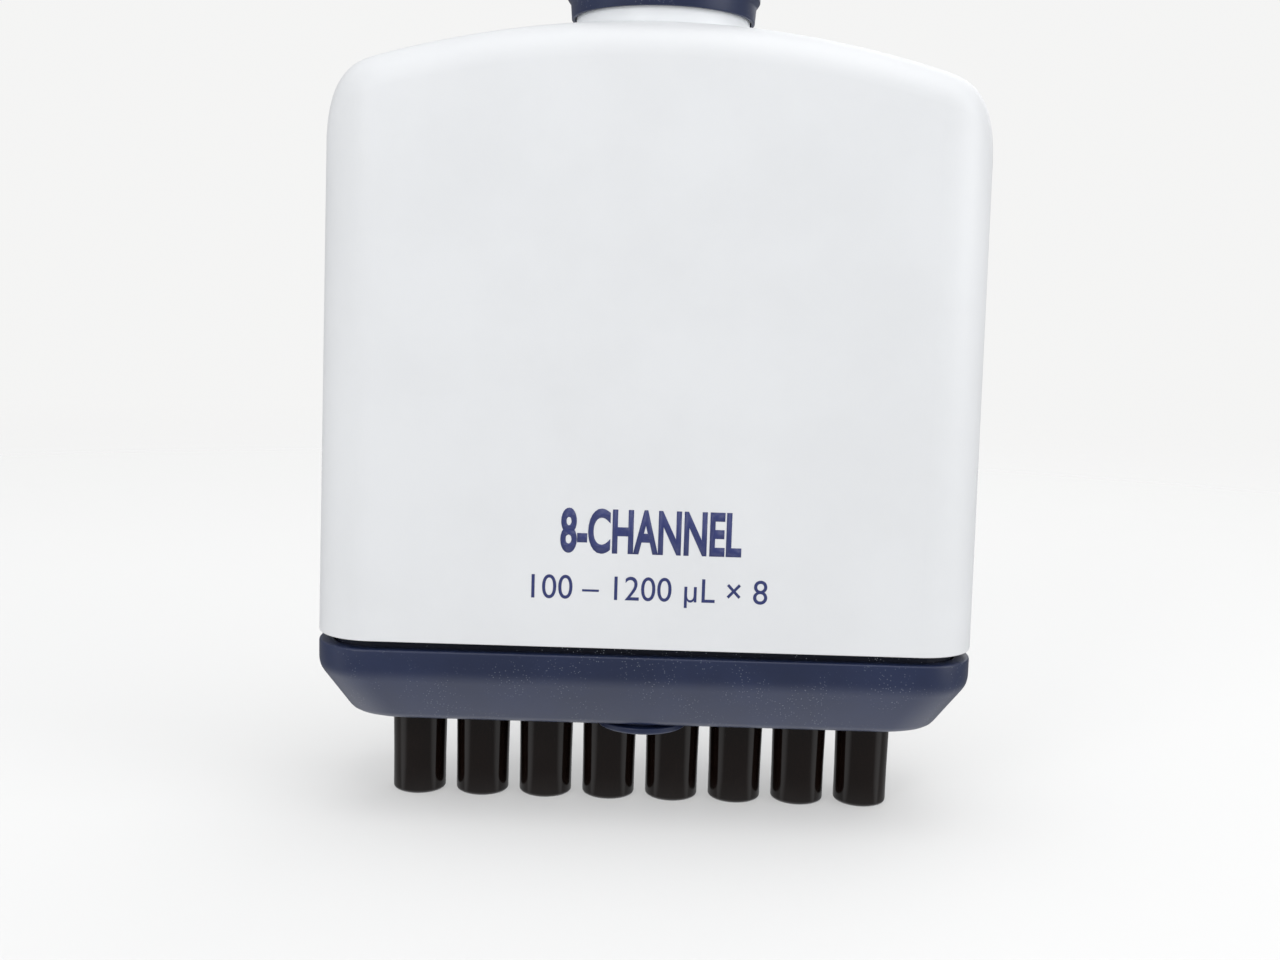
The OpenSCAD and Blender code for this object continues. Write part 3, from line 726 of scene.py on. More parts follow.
@dataclass(frozen=True)
class Moulded(Finish):
    """Satin moulded plastic with a fine spark-eroded grain, soft blotches and handling marks."""

    roughness: float = 0.4
    blotch: float = 0.03
    grain: float = 0.5
    specks: float = 0.0
    marks: float = 0.0

    def make(self) -> bpy.types.Material:
        """Builds the material.

        Returns:
            The finished material.
        """
        graph = Graph(self.name)
        cloud = graph.noise(55, 4)
        fine = graph.noise(5200, 2, 0.6)
        pale = tuple(min(1.0, c * (1 + self.blotch) + 0.4 * self.blotch * c) for c in self.colour)
        deep = tuple(c * (1 - self.blotch) for c in self.colour)
        colour = graph.mix(cloud.step(0.35, 0.65), deep, pale)
        rough = self.roughness + (cloud - 0.5) * 0.08 + (fine - 0.5) * 0.06
        if self.specks:
            dust = graph.dots(2600, 0.2) * graph.noise(160, 2).step(0.42, 0.6)
            colour = graph.mix(dust * self.specks, colour, (0.55, 0.6, 0.66))
        if self.marks:
            hair = graph.noise(38, 5, 0.7, graph.stretched((1.0, 1.0, 9.0)))
            scratch = (1 - (hair - 0.5).size().step(0.0, 0.006)) * graph.noise(30, 1).step(0.55, 0.7)
            colour = graph.mix(scratch * self.marks, colour, pale)
            rough = rough + scratch * 0.1
        height = fine * self.grain + graph.noise(900, 2) * 0.5
        return graph.surface(
            Base_Color=colour,
            Roughness=rough.at_least(0.05).at_most(1.0),
            Normal=graph.bump(height, 0.00001),
            IOR=1.46,
        )


@dataclass(frozen=True)
class Gloss(Finish):
    """Polished plastic, with faint draw lines along the piece and a few smudges."""

    roughness: float = 0.08
    ior: float = 1.46

    def make(self) -> bpy.types.Material:
        """Builds the material.

        Returns:
            The finished material.
        """
        graph = Graph(self.name)
        smudge = graph.noise(160, 4).step(0.45, 0.75)
        lines = graph.noise(700, 3, 0.6, graph.stretched((1.0, 1.0, 0.04)))
        colour = graph.mix(smudge * 0.35, self.colour, tuple(c * 1.5 + 0.003 for c in self.colour))
        return graph.surface(
            Base_Color=colour,
            Roughness=self.roughness + smudge * 0.07 + (lines - 0.5) * 0.05,
            Normal=graph.bump(lines, 0.000003),
            IOR=self.ior,
        )


class Turning(Enum):
    """Which way the fine tool marks of a metal piece run."""

    ROUND = (1.0, 1.0, 60.0)
    ALONG = (60.0, 60.0, 1.0)


@dataclass(frozen=True)
class Metal(Finish):
    """Turned or drawn metal with fine tool marks and slight tarnish."""

    roughness: float = 0.28
    turning: Turning = Turning.ROUND

    def make(self) -> bpy.types.Material:
        """Builds the material.

        Returns:
            The finished material.
        """
        graph = Graph(self.name)
        marks = graph.noise(110, 4, 0.7, graph.stretched(self.turning.value))
        cloud = graph.noise(240, 3)
        colour = graph.mix(cloud.step(0.4, 0.7) * 0.35, self.colour, tuple(c * 0.72 for c in self.colour))
        return graph.surface(
            Base_Color=colour,
            Metallic=1.0,
            Roughness=self.roughness + (marks - 0.5) * 0.22,
            Normal=graph.bump(marks, 0.000004),
        )


@dataclass(frozen=True)
class SoftTouch(Finish):
    """Rubbery overmoulding with a powdery bloom."""

    roughness: float = 0.68

    def make(self) -> bpy.types.Material:
        """Builds the material.

        Returns:
            The finished material.
        """
        graph = Graph(self.name)
        bloom = graph.noise(120, 5, 0.65)
        grain = graph.noise(3800, 2)
        colour = graph.mix(bloom.step(0.45, 0.8) * 0.5, self.colour, tuple(c * 1.5 + 0.012 for c in self.colour))
        return graph.surface(
            Base_Color=colour,
            Roughness=self.roughness + (bloom - 0.5) * 0.2,
            Normal=graph.bump(grain, 0.00002),
            Sheen_Weight=0.25,
            Sheen_Roughness=0.4,
        )


@dataclass(frozen=True)
class Clear(Finish):
    """Clear moulded window with faint hairlines."""

    def make(self) -> bpy.types.Material:
        """Builds the material.

        Returns:
            The finished material.
        """
        graph = Graph(self.name)
        hair = graph.noise(260, 4, 0.6, graph.stretched((9.0, 1.0, 1.0)))
        return graph.surface(
            Base_Color=graph.mix(hair.step(0.5, 0.8) * 0.2, self.colour, (0.75, 0.8, 0.84)),
            Roughness=0.04 + hair.step(0.55, 0.8) * 0.08,
            Alpha=0.05 + hair.step(0.6, 0.8) * 0.03,
            Normal=graph.bump(hair, 0.000002),
            IOR=1.49,
        )


@dataclass(frozen=True)
class Ink(Finish):
    """Pad-printed ink, thin in places, with a soft edge of wear."""

    def make(self) -> bpy.types.Material:
        """Builds the material.

        Returns:
            The finished material.
        """
        graph = Graph(self.name)
        thin = graph.noise(1500, 4, 0.7)
        colour = graph.mix(thin.step(0.5, 0.85) * 0.45, self.colour, tuple(c * 0.6 + 0.1 for c in self.colour))
        return graph.surface(
            Base_Color=colour,
            Roughness=0.38 + (thin - 0.5) * 0.15,
            Normal=graph.bump(thin, 0.000004),
            IOR=1.45,
        )


class Finishes:
    """Every finish of the object, each made once and looked up by slot name."""

    def __init__(self) -> None:
        """Builds the finishes."""
        recipes = [
            Moulded("housing_white", (0.765, 0.775, 0.79), 0.42, 0.012, 0.5, marks=0.25),
            # Painted light: collar_grey is the collar's pale plastic, made paler than the housing white to make up
            # for the shade that the ribbed ring casts on the collar.
            Moulded("collar_grey", (0.88, 0.90, 0.92), 0.38, 0.015),
            Moulded("skirt_navy", (0.013, 0.021, 0.060), 0.38, 0.10, 0.7, specks=0.22, marks=0.6),
            SoftTouch("grip_navy", (0.018, 0.023, 0.060)),
            Gloss("shaft_black", (0.0060, 0.0030, 0.0022), 0.09, 1.42),
            # base_black is the base plate's own dark navy with its dust, lifted a little to make up for the shade in
            # the groove under the housing: partly painted light.
            Moulded("base_black", (0.010, 0.013, 0.030), 0.5, 0.1, 0.8, specks=1.0),
            Moulded("frame_grey", (0.10, 0.115, 0.13), 0.5, 0.05),
            Moulded("cylinder_grey", (0.50, 0.52, 0.53), 0.3, 0.03),
            Metal("steel", (0.58, 0.59, 0.60), 0.26),
            Metal("aluminium", (0.70, 0.71, 0.73), 0.34, Turning.ALONG),
            Metal("brass", (0.62, 0.44, 0.18), 0.24),
            Gloss("piston_white", (0.72, 0.72, 0.69), 0.14),
            Gloss("seal_white", (0.82, 0.82, 0.79), 0.3),
            SoftTouch("gasket_black", (0.012, 0.012, 0.013), 0.75),
            Clear("window_clear", (0.9, 0.95, 0.97)),
            Moulded("drum_white", (0.78, 0.78, 0.75), 0.45, 0.02),
            Ink("print_navy", (0.030, 0.040, 0.150)),
        ]
        self.by_slot = {recipe.name: recipe.make() for recipe in recipes}

    def dress(self, piece: Piece, slot: str) -> None:
        """Gives a piece one finish all over."""
        piece.data.materials.clear()
        piece.data.materials.append(self.by_slot[slot])

    def dress_frame(self, frame: dict) -> None:
        """Gives every node of the frame the finish of its record slot."""
        for row in frame["record"]["subparts"]:
            self.dress(frame["nodes"][row["node"]], row["material_slot"])


class Builder:
    """Puts finished pieces into the frame."""

    def __init__(self, finishes: Finishes) -> None:
        """Keeps the finishes."""
        self.finishes = finishes

    def place(self, piece: Piece, slot: str, body: str, replaces: Sequence[str] = ()) -> Piece:
        """Dresses a piece, lets it ride on a body and hides the frame nodes that it stands in for.

        Args:
            piece: the finished piece.
            slot: its material slot in the record.
            body: the body that it moves with.
            replaces: frame nodes that it is shown instead of.

        Returns:
            The piece.
        """
        self.finishes.dress(piece, slot)
        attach(piece, body)
        if replaces:
            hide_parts(*replaces)
        log.info("%s rides on %s, %d faces", piece.name, body, len(piece.data.polygons))
        return piece


def lettering(name: str, words: str, height: float, width: float | None, heavy: float) -> Piece:
    """Makes flat lettering in the XZ plane, centred on the origin and facing -Y.

    Args:
        name: name of the piece.
        words: what it says.
        height: height of a capital letter.
        width: width of the whole line, or None for its own.
        heavy: how much the strokes are thickened.

    Returns:
        The lettering as a mesh with a little thickness.
    """
    Bench.clear()
    bpy.ops.object.text_add(rotation=(math.pi / 2, 0, 0))
    text = bpy.context.active_object
    text.data.body, text.data.offset = words, heavy
    text.data.resolution_u = 6
    bpy.ops.object.convert(target="MESH")
    text = bpy.context.active_object
    text.name = text.data.name = name
    bpy.ops.object.transform_apply(location=True, rotation=True, scale=True)
    xs = [v.co.x for v in text.data.vertices]
    zs = [v.co.z for v in text.data.vertices]
    tall = height / (max(zs) - min(zs))
    wide = width / (max(xs) - min(xs)) if width else tall
    text.scale = (wide, 1, tall)
    text.location = (-(max(xs) + min(xs)) / 2 * wide, 0, -(max(zs) + min(zs)) / 2 * tall)
    bpy.ops.object.transform_apply(location=True, rotation=True, scale=True)
    Bench.modify(text, "SOLIDIFY", thickness=0.05 * MM, offset=0)
    return text


# ---------------------------------------------------------------- head


@dataclass
class Head:
    """The wide white housing, its print, neck collar and the shafts below it."""

    builder: Builder
    wall: float = 2.2 * MM
    dome_radius: float = 134 * MM
    corner: float = 8 * MM
    brow: float = 5 * MM
    taper: float = 0.00026 / MM
    columns: int = 16
    neck_hole: float = 11.7 * MM
    screw_head: float = 1.9 * MM
    title: str = "8-CHANNEL"
    range_words: str = "100 – 1200 µL × 8"
    low: Vector = field(init=False)
    high: Vector = field(init=False)

    def __post_init__(self) -> None:
        """Reads the size of the covers from the frame."""
        front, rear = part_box("front_cover"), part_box("rear_cover")
        self.low = Vector(map(min, front[0], rear[0]))
        self.high = Vector(map(max, front[1], rear[1]))

    def build(self) -> None:
        """Builds every piece of the head."""
        self.build_covers()
        self.build_print()
        self.build_collar()
        self.build_shafts()

    def crown(self, x: float) -> float:
        """Height of the domed top at a distance x from the middle.

        Args:
            x: the distance, never below zero.

        Returns:
            The height.
        """
        flat, dome = self.high.x - self.corner, self.high.z - self.dome_radius
        if x <= flat * self.dome_radius / (self.dome_radius - self.corner):
            return dome + math.sqrt(self.dome_radius**2 - x * x)
        shoulder = dome + math.sqrt((self.dome_radius - self.corner) ** 2 - flat * flat)
        return shoulder + math.sqrt(max(0.0, self.corner**2 - (x - flat) ** 2))

    def depth(self, x: float) -> float:
        """Half depth of the covers at a distance x from the middle."""
        over = max(0.0, x - (self.high.x - self.corner))
        return self.high.y - self.corner + math.sqrt(max(0.0, self.corner**2 - over * over))

    def outer_body(self) -> Piece:
        """Builds the closed outer form of both covers together, station by station from the middle.

        Returns:
            The closed form.
        """
        flat, mid_z = self.high.x - self.corner, self.high.z - 20 * MM
        stations = [flat * k / self.columns for k in range(1, self.columns + 1)]
        stations += [flat + self.corner * math.sin(math.radians(a)) for a in range(5, 91, 5)]
        here = stations[0]
        body = Bench.block("head_body", (0, -self.high.y, self.low.z), (here, self.high.y, self.crown(here)))

        def ridge(edge: Edge) -> bool:
            """Upper edge that runs along the head."""
            return all(v.co.z > mid_z for v in edge.verts) and edge.verts[0].co.x != edge.verts[1].co.x

        Bench.bevel(body, ridge, self.brow, 9)
        with Bench.editing(body):
            for there in stations[1:]:
                Bench.pick(body, Element.FACE, lambda f: f.normal.x > 0.99 and f.calc_center_median().x > here - TINY)
                Bench.extrude((there - here, 0, 0))
                edge = (here + there) / 2
                Bench.pick(body, Element.VERT, lambda v: v.co.x > edge and v.co.z > mid_z)
                bpy.ops.transform.translate(value=(0, 0, self.crown(there) - self.crown(here)))
                draw = self.depth(here) - self.depth(there)
                for side in (-1, 1) if draw > 0 else ():
                    Bench.pick(body, Element.VERT, lambda v: v.co.x > edge and v.co.y * side > 0)
                    bpy.ops.transform.translate(value=(0, -side * draw, 0))
                here = there
            Bench.pick(body, Element.FACE, lambda f: abs(f.calc_center_median().x) < 1e-7)
            bpy.ops.mesh.delete(type="FACE")
            Bench.pick(body, Element.VERT, lambda v: v.co.z > mid_z)
            lean = 1 - self.taper * (self.high.z - 11 * MM - self.low.z)
            Bench.stretch((lean, 1, 1), 0)
        Bench.modify(body, "MIRROR", use_axis=(True, False, False), merge_threshold=TINY)
        Bench.tidy(body)
        return body

    def build_covers(self) -> None:
        """Builds the front and rear cover as two hollow halves."""
        body = self.outer_body()
        with Bench.editing(body):
            bottom = self.low.z + TINY
            Bench.pick(body, Element.FACE, lambda f: f.normal.z < -0.99 and f.calc_center_median().z < bottom)
            bpy.ops.mesh.delete(type="FACE")
        for name, side, node in (("head_front", -1, "front_cover"), ("head_rear", 1, "rear_cover")):
            shell = Bench.half_shell(body, name, side, self.wall)
            Bench.boolean(shell, Bench.rod("neck_cutter", self.neck_hole, 40 * MM, (0, 0, self.high.z)), Cut.AWAY)
            if side > 0:
                self.add_screw_cups(shell)
            self.soften(shell)
            Bench.smooth(shell, 28)
            self.builder.place(shell, "housing_white", "head", [node])
        bpy.data.objects.remove(body)

    def soften(self, shell: Piece) -> None:
        """Rounds the lower edge and the parting line of a cover.

        Args:
            shell: the cover.
        """
        low = self.low.z

        def sharp(edge: Edge) -> bool:
            """Outer edge where the wall meets the bottom rim or the parting face.

            Args:
                edge: the edge to judge.

            Returns:
                Whether it is to be rounded.
            """
            if len(edge.link_faces) != 2 or edge.calc_face_angle(0) < 0.9:
                return False
            bottom = all(abs(v.co.z - low) < NEAR for v in edge.verts)
            parting = all(abs(v.co.y) < NEAR for v in edge.verts)
            return bottom or parting

        Bench.bevel(shell, sharp, 0.22 * MM, 3)

    def add_screw_cups(self, shell: Piece) -> None:
        """Adds the cups that the cover screws sit in, behind the rear cover's face.

        Args:
            shell: the rear cover.
        """
        low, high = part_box("cover_screws")
        for name, radius, length, depth, cut in (
            ("screw_cups", 2.9 * MM, 5 * MM, 12 * MM, Cut.JOIN),
            ("screw_recesses", 2.15 * MM, 7 * MM, high.y + 1.7 * MM, Cut.AWAY),
        ):
            tools = [
                Bench.rod(name, radius, length, (x, depth, z), Axis.Y, 40)
                for x, z in self.screw_places(low, high, self.screw_head)
            ]
            Bench.boolean(shell, Bench.join(tools, name), cut)

    @staticmethod
    def screw_places(low: Vector, high: Vector, head: float) -> list[Point]:
        """Places of the four screws, from their box: the lower pair stands wider than the upper."""
        wide, upper = high.x - head, 22 * MM
        return [(s * x, z) for s in (-1, 1) for x, z in ((wide, low.z + head), (upper, high.z - head))]

    def build_print(self) -> None:
        """Prints two generic lines low on the front."""
        for name, words, height, width, z, heavy in (
            ("print_title", self.title, 5.9 * MM, 23.4 * MM, 40.3 * MM, 0.032),
            ("print_range", self.range_words, 3.9 * MM, 30.6 * MM, 32.5 * MM, 0.0),
        ):
            text = lettering(name, words, height, width, heavy)
            Bench.move(text, (0.4 * MM, self.low.y - 0.005 * MM, z))
            self.builder.place(text, "print_navy", "head")

    def build_collar(self) -> None:
        """Builds the swivel collar between the dome and the ribbed ring."""
        low, high = box_mm("neck_collar")
        bore, flange, outer = 9.5, high.x, 11.6
        step = low.z + 2.6
        corners = (
            (bore, low.z, 0), (flange, low.z, 0.2), (flange, step, 0.3),
            (outer, step, 0.2), (outer, high.z, 0.3), (bore, high.z, 0.1),
        )
        collar = Bench.lathe("neck_ring", fillet(corners, 3), 128)
        self.builder.place(collar, "collar_grey", "head", ["neck_collar"])

    def build_shafts(self) -> None:
        """Builds one tip shaft and copies it along the row."""
        low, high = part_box("tip_shaft_1")
        middle = (low.x + high.x) / 2
        corners = (
            (1.4, 1.7, 0.2), (2.5, 0, 0.15), (3.7, 0, 0.45), (3.7, 5, 1.5), (3.82, 14.6, 0.1), (3.4, 14.6, 0.1),
            (3.4, 26, 0.1), (4, 26, 0.1), (4, 27.4, 0.1), (3, 27.4, 0.1), (3, 28.6, 0.05), (2.4, 28.6, 0.05),
            (2.4, 30, 0.05), (3, 30, 0.05), (3, 31.4, 0.3), (1.4, 31.4, 0.1),
        )
        model = Bench.lathe("shaft_model", fillet(corners, 4), 96, (middle, 0.0))
        for k in range(CHANNELS):
            node = f"tip_shaft_{k + 1}"
            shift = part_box(node)[0].x - low.x
            twin = Bench.copy(model, f"shaft_{k + 1}", (shift, 0, 0))
            self.builder.place(twin, "shaft_black", "head", [node])
        bpy.data.objects.remove(model)


@dataclass
class Skirt:
    """The navy tip-ejector skirt that slides down over the shafts."""

    builder: Builder
    corner: float = 8 * MM
    wall: float = 2 * MM
    hole: float = 4.05 * MM
    bevel: float = 4.4 * MM
    band: float = 3.5 * MM
    lug_drop: float = 1.3 * MM
    low: Vector = field(init=False)
    high: Vector = field(init=False)

    def __post_init__(self) -> None:
        """Reads the size of the skirt from the frame."""
        self.low, self.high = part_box("ejector_skirt")

    def build(self) -> None:
        """Builds the skirt from its band down, hollows it and cuts the holes."""
        half_x, half_y, top = self.high.x, self.high.y, self.high.z
        crease = top - self.band
        floor = self.low.z + self.lug_drop
        start = crease + 1 * MM
        skirt = Bench.block("skirt_shell", (-half_x, -half_y, start), (half_x, half_y, top))
        Bench.bevel(skirt, runs("z"), self.corner, 14)
        # Rounds at the crease and at the floor: level, rise in millimetres and share of the bevel
        steps = [(crease, *step) for step in ((0.52, 0.008), (0.05, 0.03), (-0.41, 0.068), (-0.84, 0.121))]
        steps += [(floor, *step) for step in ((1.01, 0.855), (0.58, 0.936), (0.27, 1.034), (0.06, 1.153), (0, 1.273))]
        with Bench.editing(skirt):
            Bench.pick(skirt, Element.FACE, lambda f: f.normal.z < -0.99 and len(f.verts) > 4)
            rings = [(z + rise * MM, part * self.bevel) for z, rise, part in steps]
            self.extrude_rings(Vector((half_x, half_y)), start, rings)
        inside = [(crease, 0.0), (floor + 2.4 * MM, 0.69 * self.bevel)]
        with Bench.editing(skirt):
            Bench.pick(skirt, Element.FACE, lambda f: f.normal.z > 0.99 and f.calc_center_median().z > top - TINY)
            bpy.ops.mesh.inset(thickness=self.wall, depth=0)
            size = Vector((half_x - self.wall, half_y - self.wall))
            self.extrude_rings(size, top, inside)
        Bench.tidy(skirt)
        self.add_lug(skirt, floor)
        self.cut_holes(skirt)

        def rim(edge: Edge) -> bool:
            """Edge of the flat rim at the top."""
            return all(abs(v.co.z - top) < TINY for v in edge.verts) and edge.calc_face_angle(0) > 1.0

        Bench.bevel(skirt, rim, 0.28 * MM, 3)
        Bench.smooth(skirt, 30)
        self.builder.place(skirt, "skirt_navy", "skirt", ["ejector_skirt"])

    @staticmethod
    def extrude_rings(size: Vector, start: float, rings: Sequence[Point]) -> None:
        """Extrudes the selected face through rings of height and inset, in edit mode.

        Args:
            size: full size of the face.
            start: height that it starts at.
            rings: height and inset of each ring.
        """
        full, here = size.copy(), size.copy()
        level = start
        for z, inset in rings:
            Bench.extrude((0, 0, z - level))
            goal = full - Vector((inset, inset))
            Bench.stretch((goal.x / here.x, goal.y / here.y, 1), z)
            here, level = goal, z

    def add_lug(self, skirt: Piece, floor: float) -> None:
        """Joins on the low lug in the middle, which meets the two middle tips first.

        Args:
            skirt: the skirt.
            floor: height of the skirt's floor.
        """
        low, root = self.low.z / MM, floor / MM + 0.4
        step = low + 0.9
        corners = ((0, low, 0), (6.2, low, 0.35), (6.2, step, 0.2), (4.8, step, 0.1), (4.8, root, 0), (0, root, 0))
        lug = Bench.lathe("skirt_lug", fillet(corners, 4), 72, (0.0, self.low.y + self.bevel + 6.4 * MM))
        Bench.boolean(skirt, lug, Cut.JOIN)

    def cut_holes(self, skirt: Piece) -> None:
        """Cuts the eight clearance holes of the shafts.

        Args:
            skirt: the skirt.
        """
        tools = []
        for k in range(CHANNELS):
            low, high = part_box(f"tip_shaft_{k + 1}")
            centre = ((low.x + high.x) / 2, 0, self.low.z)
            tools.append(Bench.rod("hole_cutter", self.hole, 24 * MM, centre, Axis.Z, 64))
        Bench.boolean(skirt, Bench.join(tools, "hole_cutters"), Cut.AWAY)


@dataclass
class Coupling:
    """The ribbed navy ring that holds the head to the handle."""

    builder: Builder
    ribs: int = 26

    def build(self) -> None:
        """Turns the ring and cuts its flutes."""
        low, high = box_mm("coupling_nut")
        r, foot, top = high.x, low.z, high.z
        corners = (
            (11.8, foot, 0.1), (12.25, foot, 0.15), (12.42, foot + 2.1, 0.6), (r, foot + 2.8, 0.3),
            (r, top - 1.2, 0.6), (r - 0.5, top, 0.3), (11.4, top, 0.2), (11.4, 117.6, 0),
            (9.7, 117.6, 0), (9.7, 114.8, 0), (11.8, 114.8, 0),
        )
        ring = Bench.lathe("coupling_ring", fillet(corners, 4), 156)
        Bench.flute(ring, self.ribs, r + 0.3, 0.8, foot + 3.2, top - 2)
        self.builder.place(ring, "skirt_navy", "coupling_nut", ["coupling_nut"])


# ---------------------------------------------------------------- handle


@dataclass
class Handle:
    """The hand-held body: two shells, grip pad, finger hook, display window and its print."""

    builder: Builder
    stations: tuple[tuple[float, float, float, float], ...] = (
        (121.3, 13.2, 13.2, 13.2),
        (124, 13.9, 13.9, 13.9),
        (134, 14.0, 14.2, 14.3),
        (150, 13.8, 14.5, 14.8),
        (168, 14.0, 14.2, 15.2),
        (186, 14.8, 13.6, 16.4),
        (202, 15.6, 13.4, 18.0),
        (216, 16.0, 13.6, 19.6),
        (225, 15.6, 13.4, 20.0),
        (229, 14.4, 12.4, 18.8),
        (231, 12.4, 10.6, 16.8),
    )
    squareness: float = 2.3
    wall: float = 2 * MM
    steps: int = 5
    grooves: int = 15
    pad_end: float = 7 * MM
    figure_half_width: float = 2.3 * MM
    screw_head: float = 1.9 * MM
    hook_width: float = 17 * MM
    hook_centre: Point = (29.95 * MM, 197 * MM)
    hook_radius: float = 11 * MM
    hook_thickness: float = 4.5 * MM

    def build(self) -> None:
        """Builds every piece of the handle."""
        whole = self.form("handle_form", 0.0)
        self.build_shells(whole)
        self.build_pad()
        self.build_window()
        self.build_hook()
        self.build_unit()
        bpy.data.objects.remove(whole)

    def sizes(self) -> list[tuple[float, ...]]:
        """Stations of height, half width, front and rear depth, with smooth ones put in between.

        Returns:
            The stations from the lowest to the highest.
        """
        given = [Vector(station) * MM for station in self.stations]
        path = []
        for k in range(len(given) - 1):
            here, there = given[k], given[k + 1]
            before = given[k - 1] if k else here * 2 - there
            after = given[k + 2] if k + 2 < len(given) else there * 2 - here
            lead = (there - before) * (there[0] - here[0]) / (there[0] - before[0])
            tail = (after - here) * (there[0] - here[0]) / (after[0] - here[0])
            for n in range(self.steps):
                t = n / self.steps
                path.append(
                    here * (2 * t**3 - 3 * t**2 + 1)
                    + lead * (t**3 - 2 * t**2 + t)
                    + there * (3 * t**2 - 2 * t**3)
                    + tail * (t**3 - t**2)
                )
        return [tuple(size) for size in [*path, given[-1]]]

    def form(self, name: str, grow: float) -> Piece:
        """Builds the closed form of the handle, station by station.

        Args:
            name: name of the piece.
            grow: how far its sides stand outside the handle's own.

        Returns:
            The new piece.
        """
        sizes = self.sizes()
        z, *half = sizes[0]
        half = [value + grow for value in half]
        power = 2 / self.squareness
        ring = []
        for k in range(72):
            c, s = math.cos(math.radians(5 * k)), math.sin(math.radians(5 * k))
            y = math.copysign(abs(s) ** power, s) * (half[1] if s < 0 else half[2])
            ring.append((math.copysign(abs(c) ** power, c) * half[0], 0.0 if k % 36 == 0 else y, z))
        piece = Bench.slab(name, ring, (0, 0, 0))
        with Bench.editing(piece):
            Bench.whole_mesh()
            for level, *wanted in sizes[1:]:
                wanted = [value + grow for value in wanted]
                Bench.extrude((0, 0, level - z))
                Bench.stretch((wanted[0] / half[0], 1, 1), level)
                middle = (z + level) / 2
                for side, old, new in ((-1, half[1], wanted[1]), (1, half[2], wanted[2])):
                    Bench.pick(piece, Element.VERT, lambda v: v.co.z > middle and v.co.y * side > 1e-7)
                    Bench.stretch((1, new / old, 1), level)
                Bench.pick(piece, Element.FACE, lambda f: f.calc_center_median().z > middle and len(f.verts) > 8)
                z, half = level, wanted
            Bench.whole_mesh()
            bpy.ops.mesh.normals_make_consistent(inside=False)
        return piece

    def build_shells(self, whole: Piece) -> None:
        """Cuts the form into a front and a rear shell, and makes their openings.

        Args:
            whole: the closed form of the handle.
        """
        window_low, window_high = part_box("display_window")
        for name, side, node in (("grip_front", -1, "handle_front_shell"), ("grip_rear", 1, "handle_rear_shell")):
            shell = Bench.half_shell(whole, name, side, self.wall)
            cutters = [
                Bench.rod("floor_hole", 9.5 * MM, 10 * MM, (0, 0, 122 * MM)),
                Bench.rod("top_hole", 6.25 * MM, 10 * MM, (0, 0, 231 * MM)),
                self.slot_cutter(),
            ]
            if side < 0:
                gap = Vector((0.1 * MM, 5 * MM, 0.1 * MM))
                cutters.append(Bench.block("window_hole", window_low - gap, window_high + gap))
            else:
                for hole, bottom, top in (
                    ("stem_hole", (-4.4, 7.4, 226), (4.4, 16.4, 240)),
                    ("arm_hole", (-2.4, 6, 119), (2.4, 12.1, 127)),
                ):
                    cutters.append(Bench.block(hole, Vector(bottom) * MM, Vector(top) * MM))
                low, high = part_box("shell_screws")
                middle, head = (low.z + high.z) / 2, self.screw_head
                for x in (low.x, high.x):
                    for z in (low.z, high.z):
                        inward = Vector((-math.copysign(head, x), 0, math.copysign(head, middle - z)))
                        centre = Vector((x, high.y + 1.4 * MM, z)) + inward
                        cutters.append(Bench.rod("screw_hole", 2.05 * MM, 6 * MM, centre, Axis.Y, 32))
            for cutter in cutters:
                Bench.boolean(shell, cutter, Cut.AWAY)

            def parting(edge: Edge) -> bool:
                """Edge between a shell's outside and its parting face."""
                return all(abs(v.co.y) < NEAR for v in edge.verts) and 0.9 < edge.calc_face_angle(0) < 2.2

            Bench.bevel(shell, parting, 0.18 * MM, 2)
            Bench.smooth(shell, 26)
            self.builder.place(shell, "housing_white", "handle", [node])

    @staticmethod
    def slot_cutter() -> Piece:
        """Cutter of the slot that the lock ring's tab swings in.

        Returns:
            The cutter.
        """
        low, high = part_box("lock_ring")
        gap = 0.3 * MM
        path = [(0.0, 0.0), *arc((0, 0), 30 * MM, 156, 206, 10)]
        return Bench.slab("lock_slot", [(x, y, low.z - gap) for x, y in path], (0, 0, high.z - low.z + 2 * gap))

    def wrapped(self, name: str, outer: float, inner: float, cutter: Piece) -> Piece:
        """Makes a piece that lies round the handle like a skin, trimmed by a cutter.

        Args:
            name: name of the piece.
            outer: how far the outside stands off the handle.
            inner: how far the inside does.
            cutter: the form that it is trimmed to.

        Returns:
            The skin.
        """
        skin = self.form(name, outer)
        Bench.boolean(skin, cutter, Cut.KEEP)
        Bench.boolean(skin, self.form("inner_form", inner), Cut.AWAY)
        return skin

    def build_pad(self) -> None:
        """Builds the soft grip pad on the front, with shallow grooves across it."""
        low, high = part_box("grip_pad")
        middle = (low.z + high.z) / 2
        outline = round_rectangle(high.x, (high.z - low.z) / 2, 6 * MM, 8)
        trim = Bench.slab("pad_trim", [(x, -25 * MM, middle + z) for x, z in outline], (0, 20 * MM, 0))
        pad = self.wrapped("grip_skin", 0.5 * MM, -0.9 * MM, trim)
        Bench.tidy(pad)
        bars = []
        for k in range(self.grooves):
            z = low.z + self.pad_end + (high.z - low.z - 2 * self.pad_end) * k / (self.grooves - 1)
            bar = Bench.rod("groove", 0.55 * MM, 30 * MM, (0, self.front(z) - 0.62 * MM, z), Axis.X, 20)
            bars.append(bar)
        Bench.boolean(pad, Bench.join(bars, "grooves"), Cut.AWAY)
        Bench.smooth(pad, 30)
        self.builder.place(pad, "grip_navy", "handle", ["grip_pad"])

    def front(self, z: float) -> float:
        """Place of the handle's front at a height.

        Args:
            z: the height.

        Returns:
            The front's place on Y.
        """
        sizes = self.sizes()
        for one, two in zip(sizes, sizes[1:]):
            if one[0] <= z <= two[0]:
                return -(one[2] + (two[2] - one[2]) * (z - one[0]) / (two[0] - one[0]))
        return -sizes[-1][2]

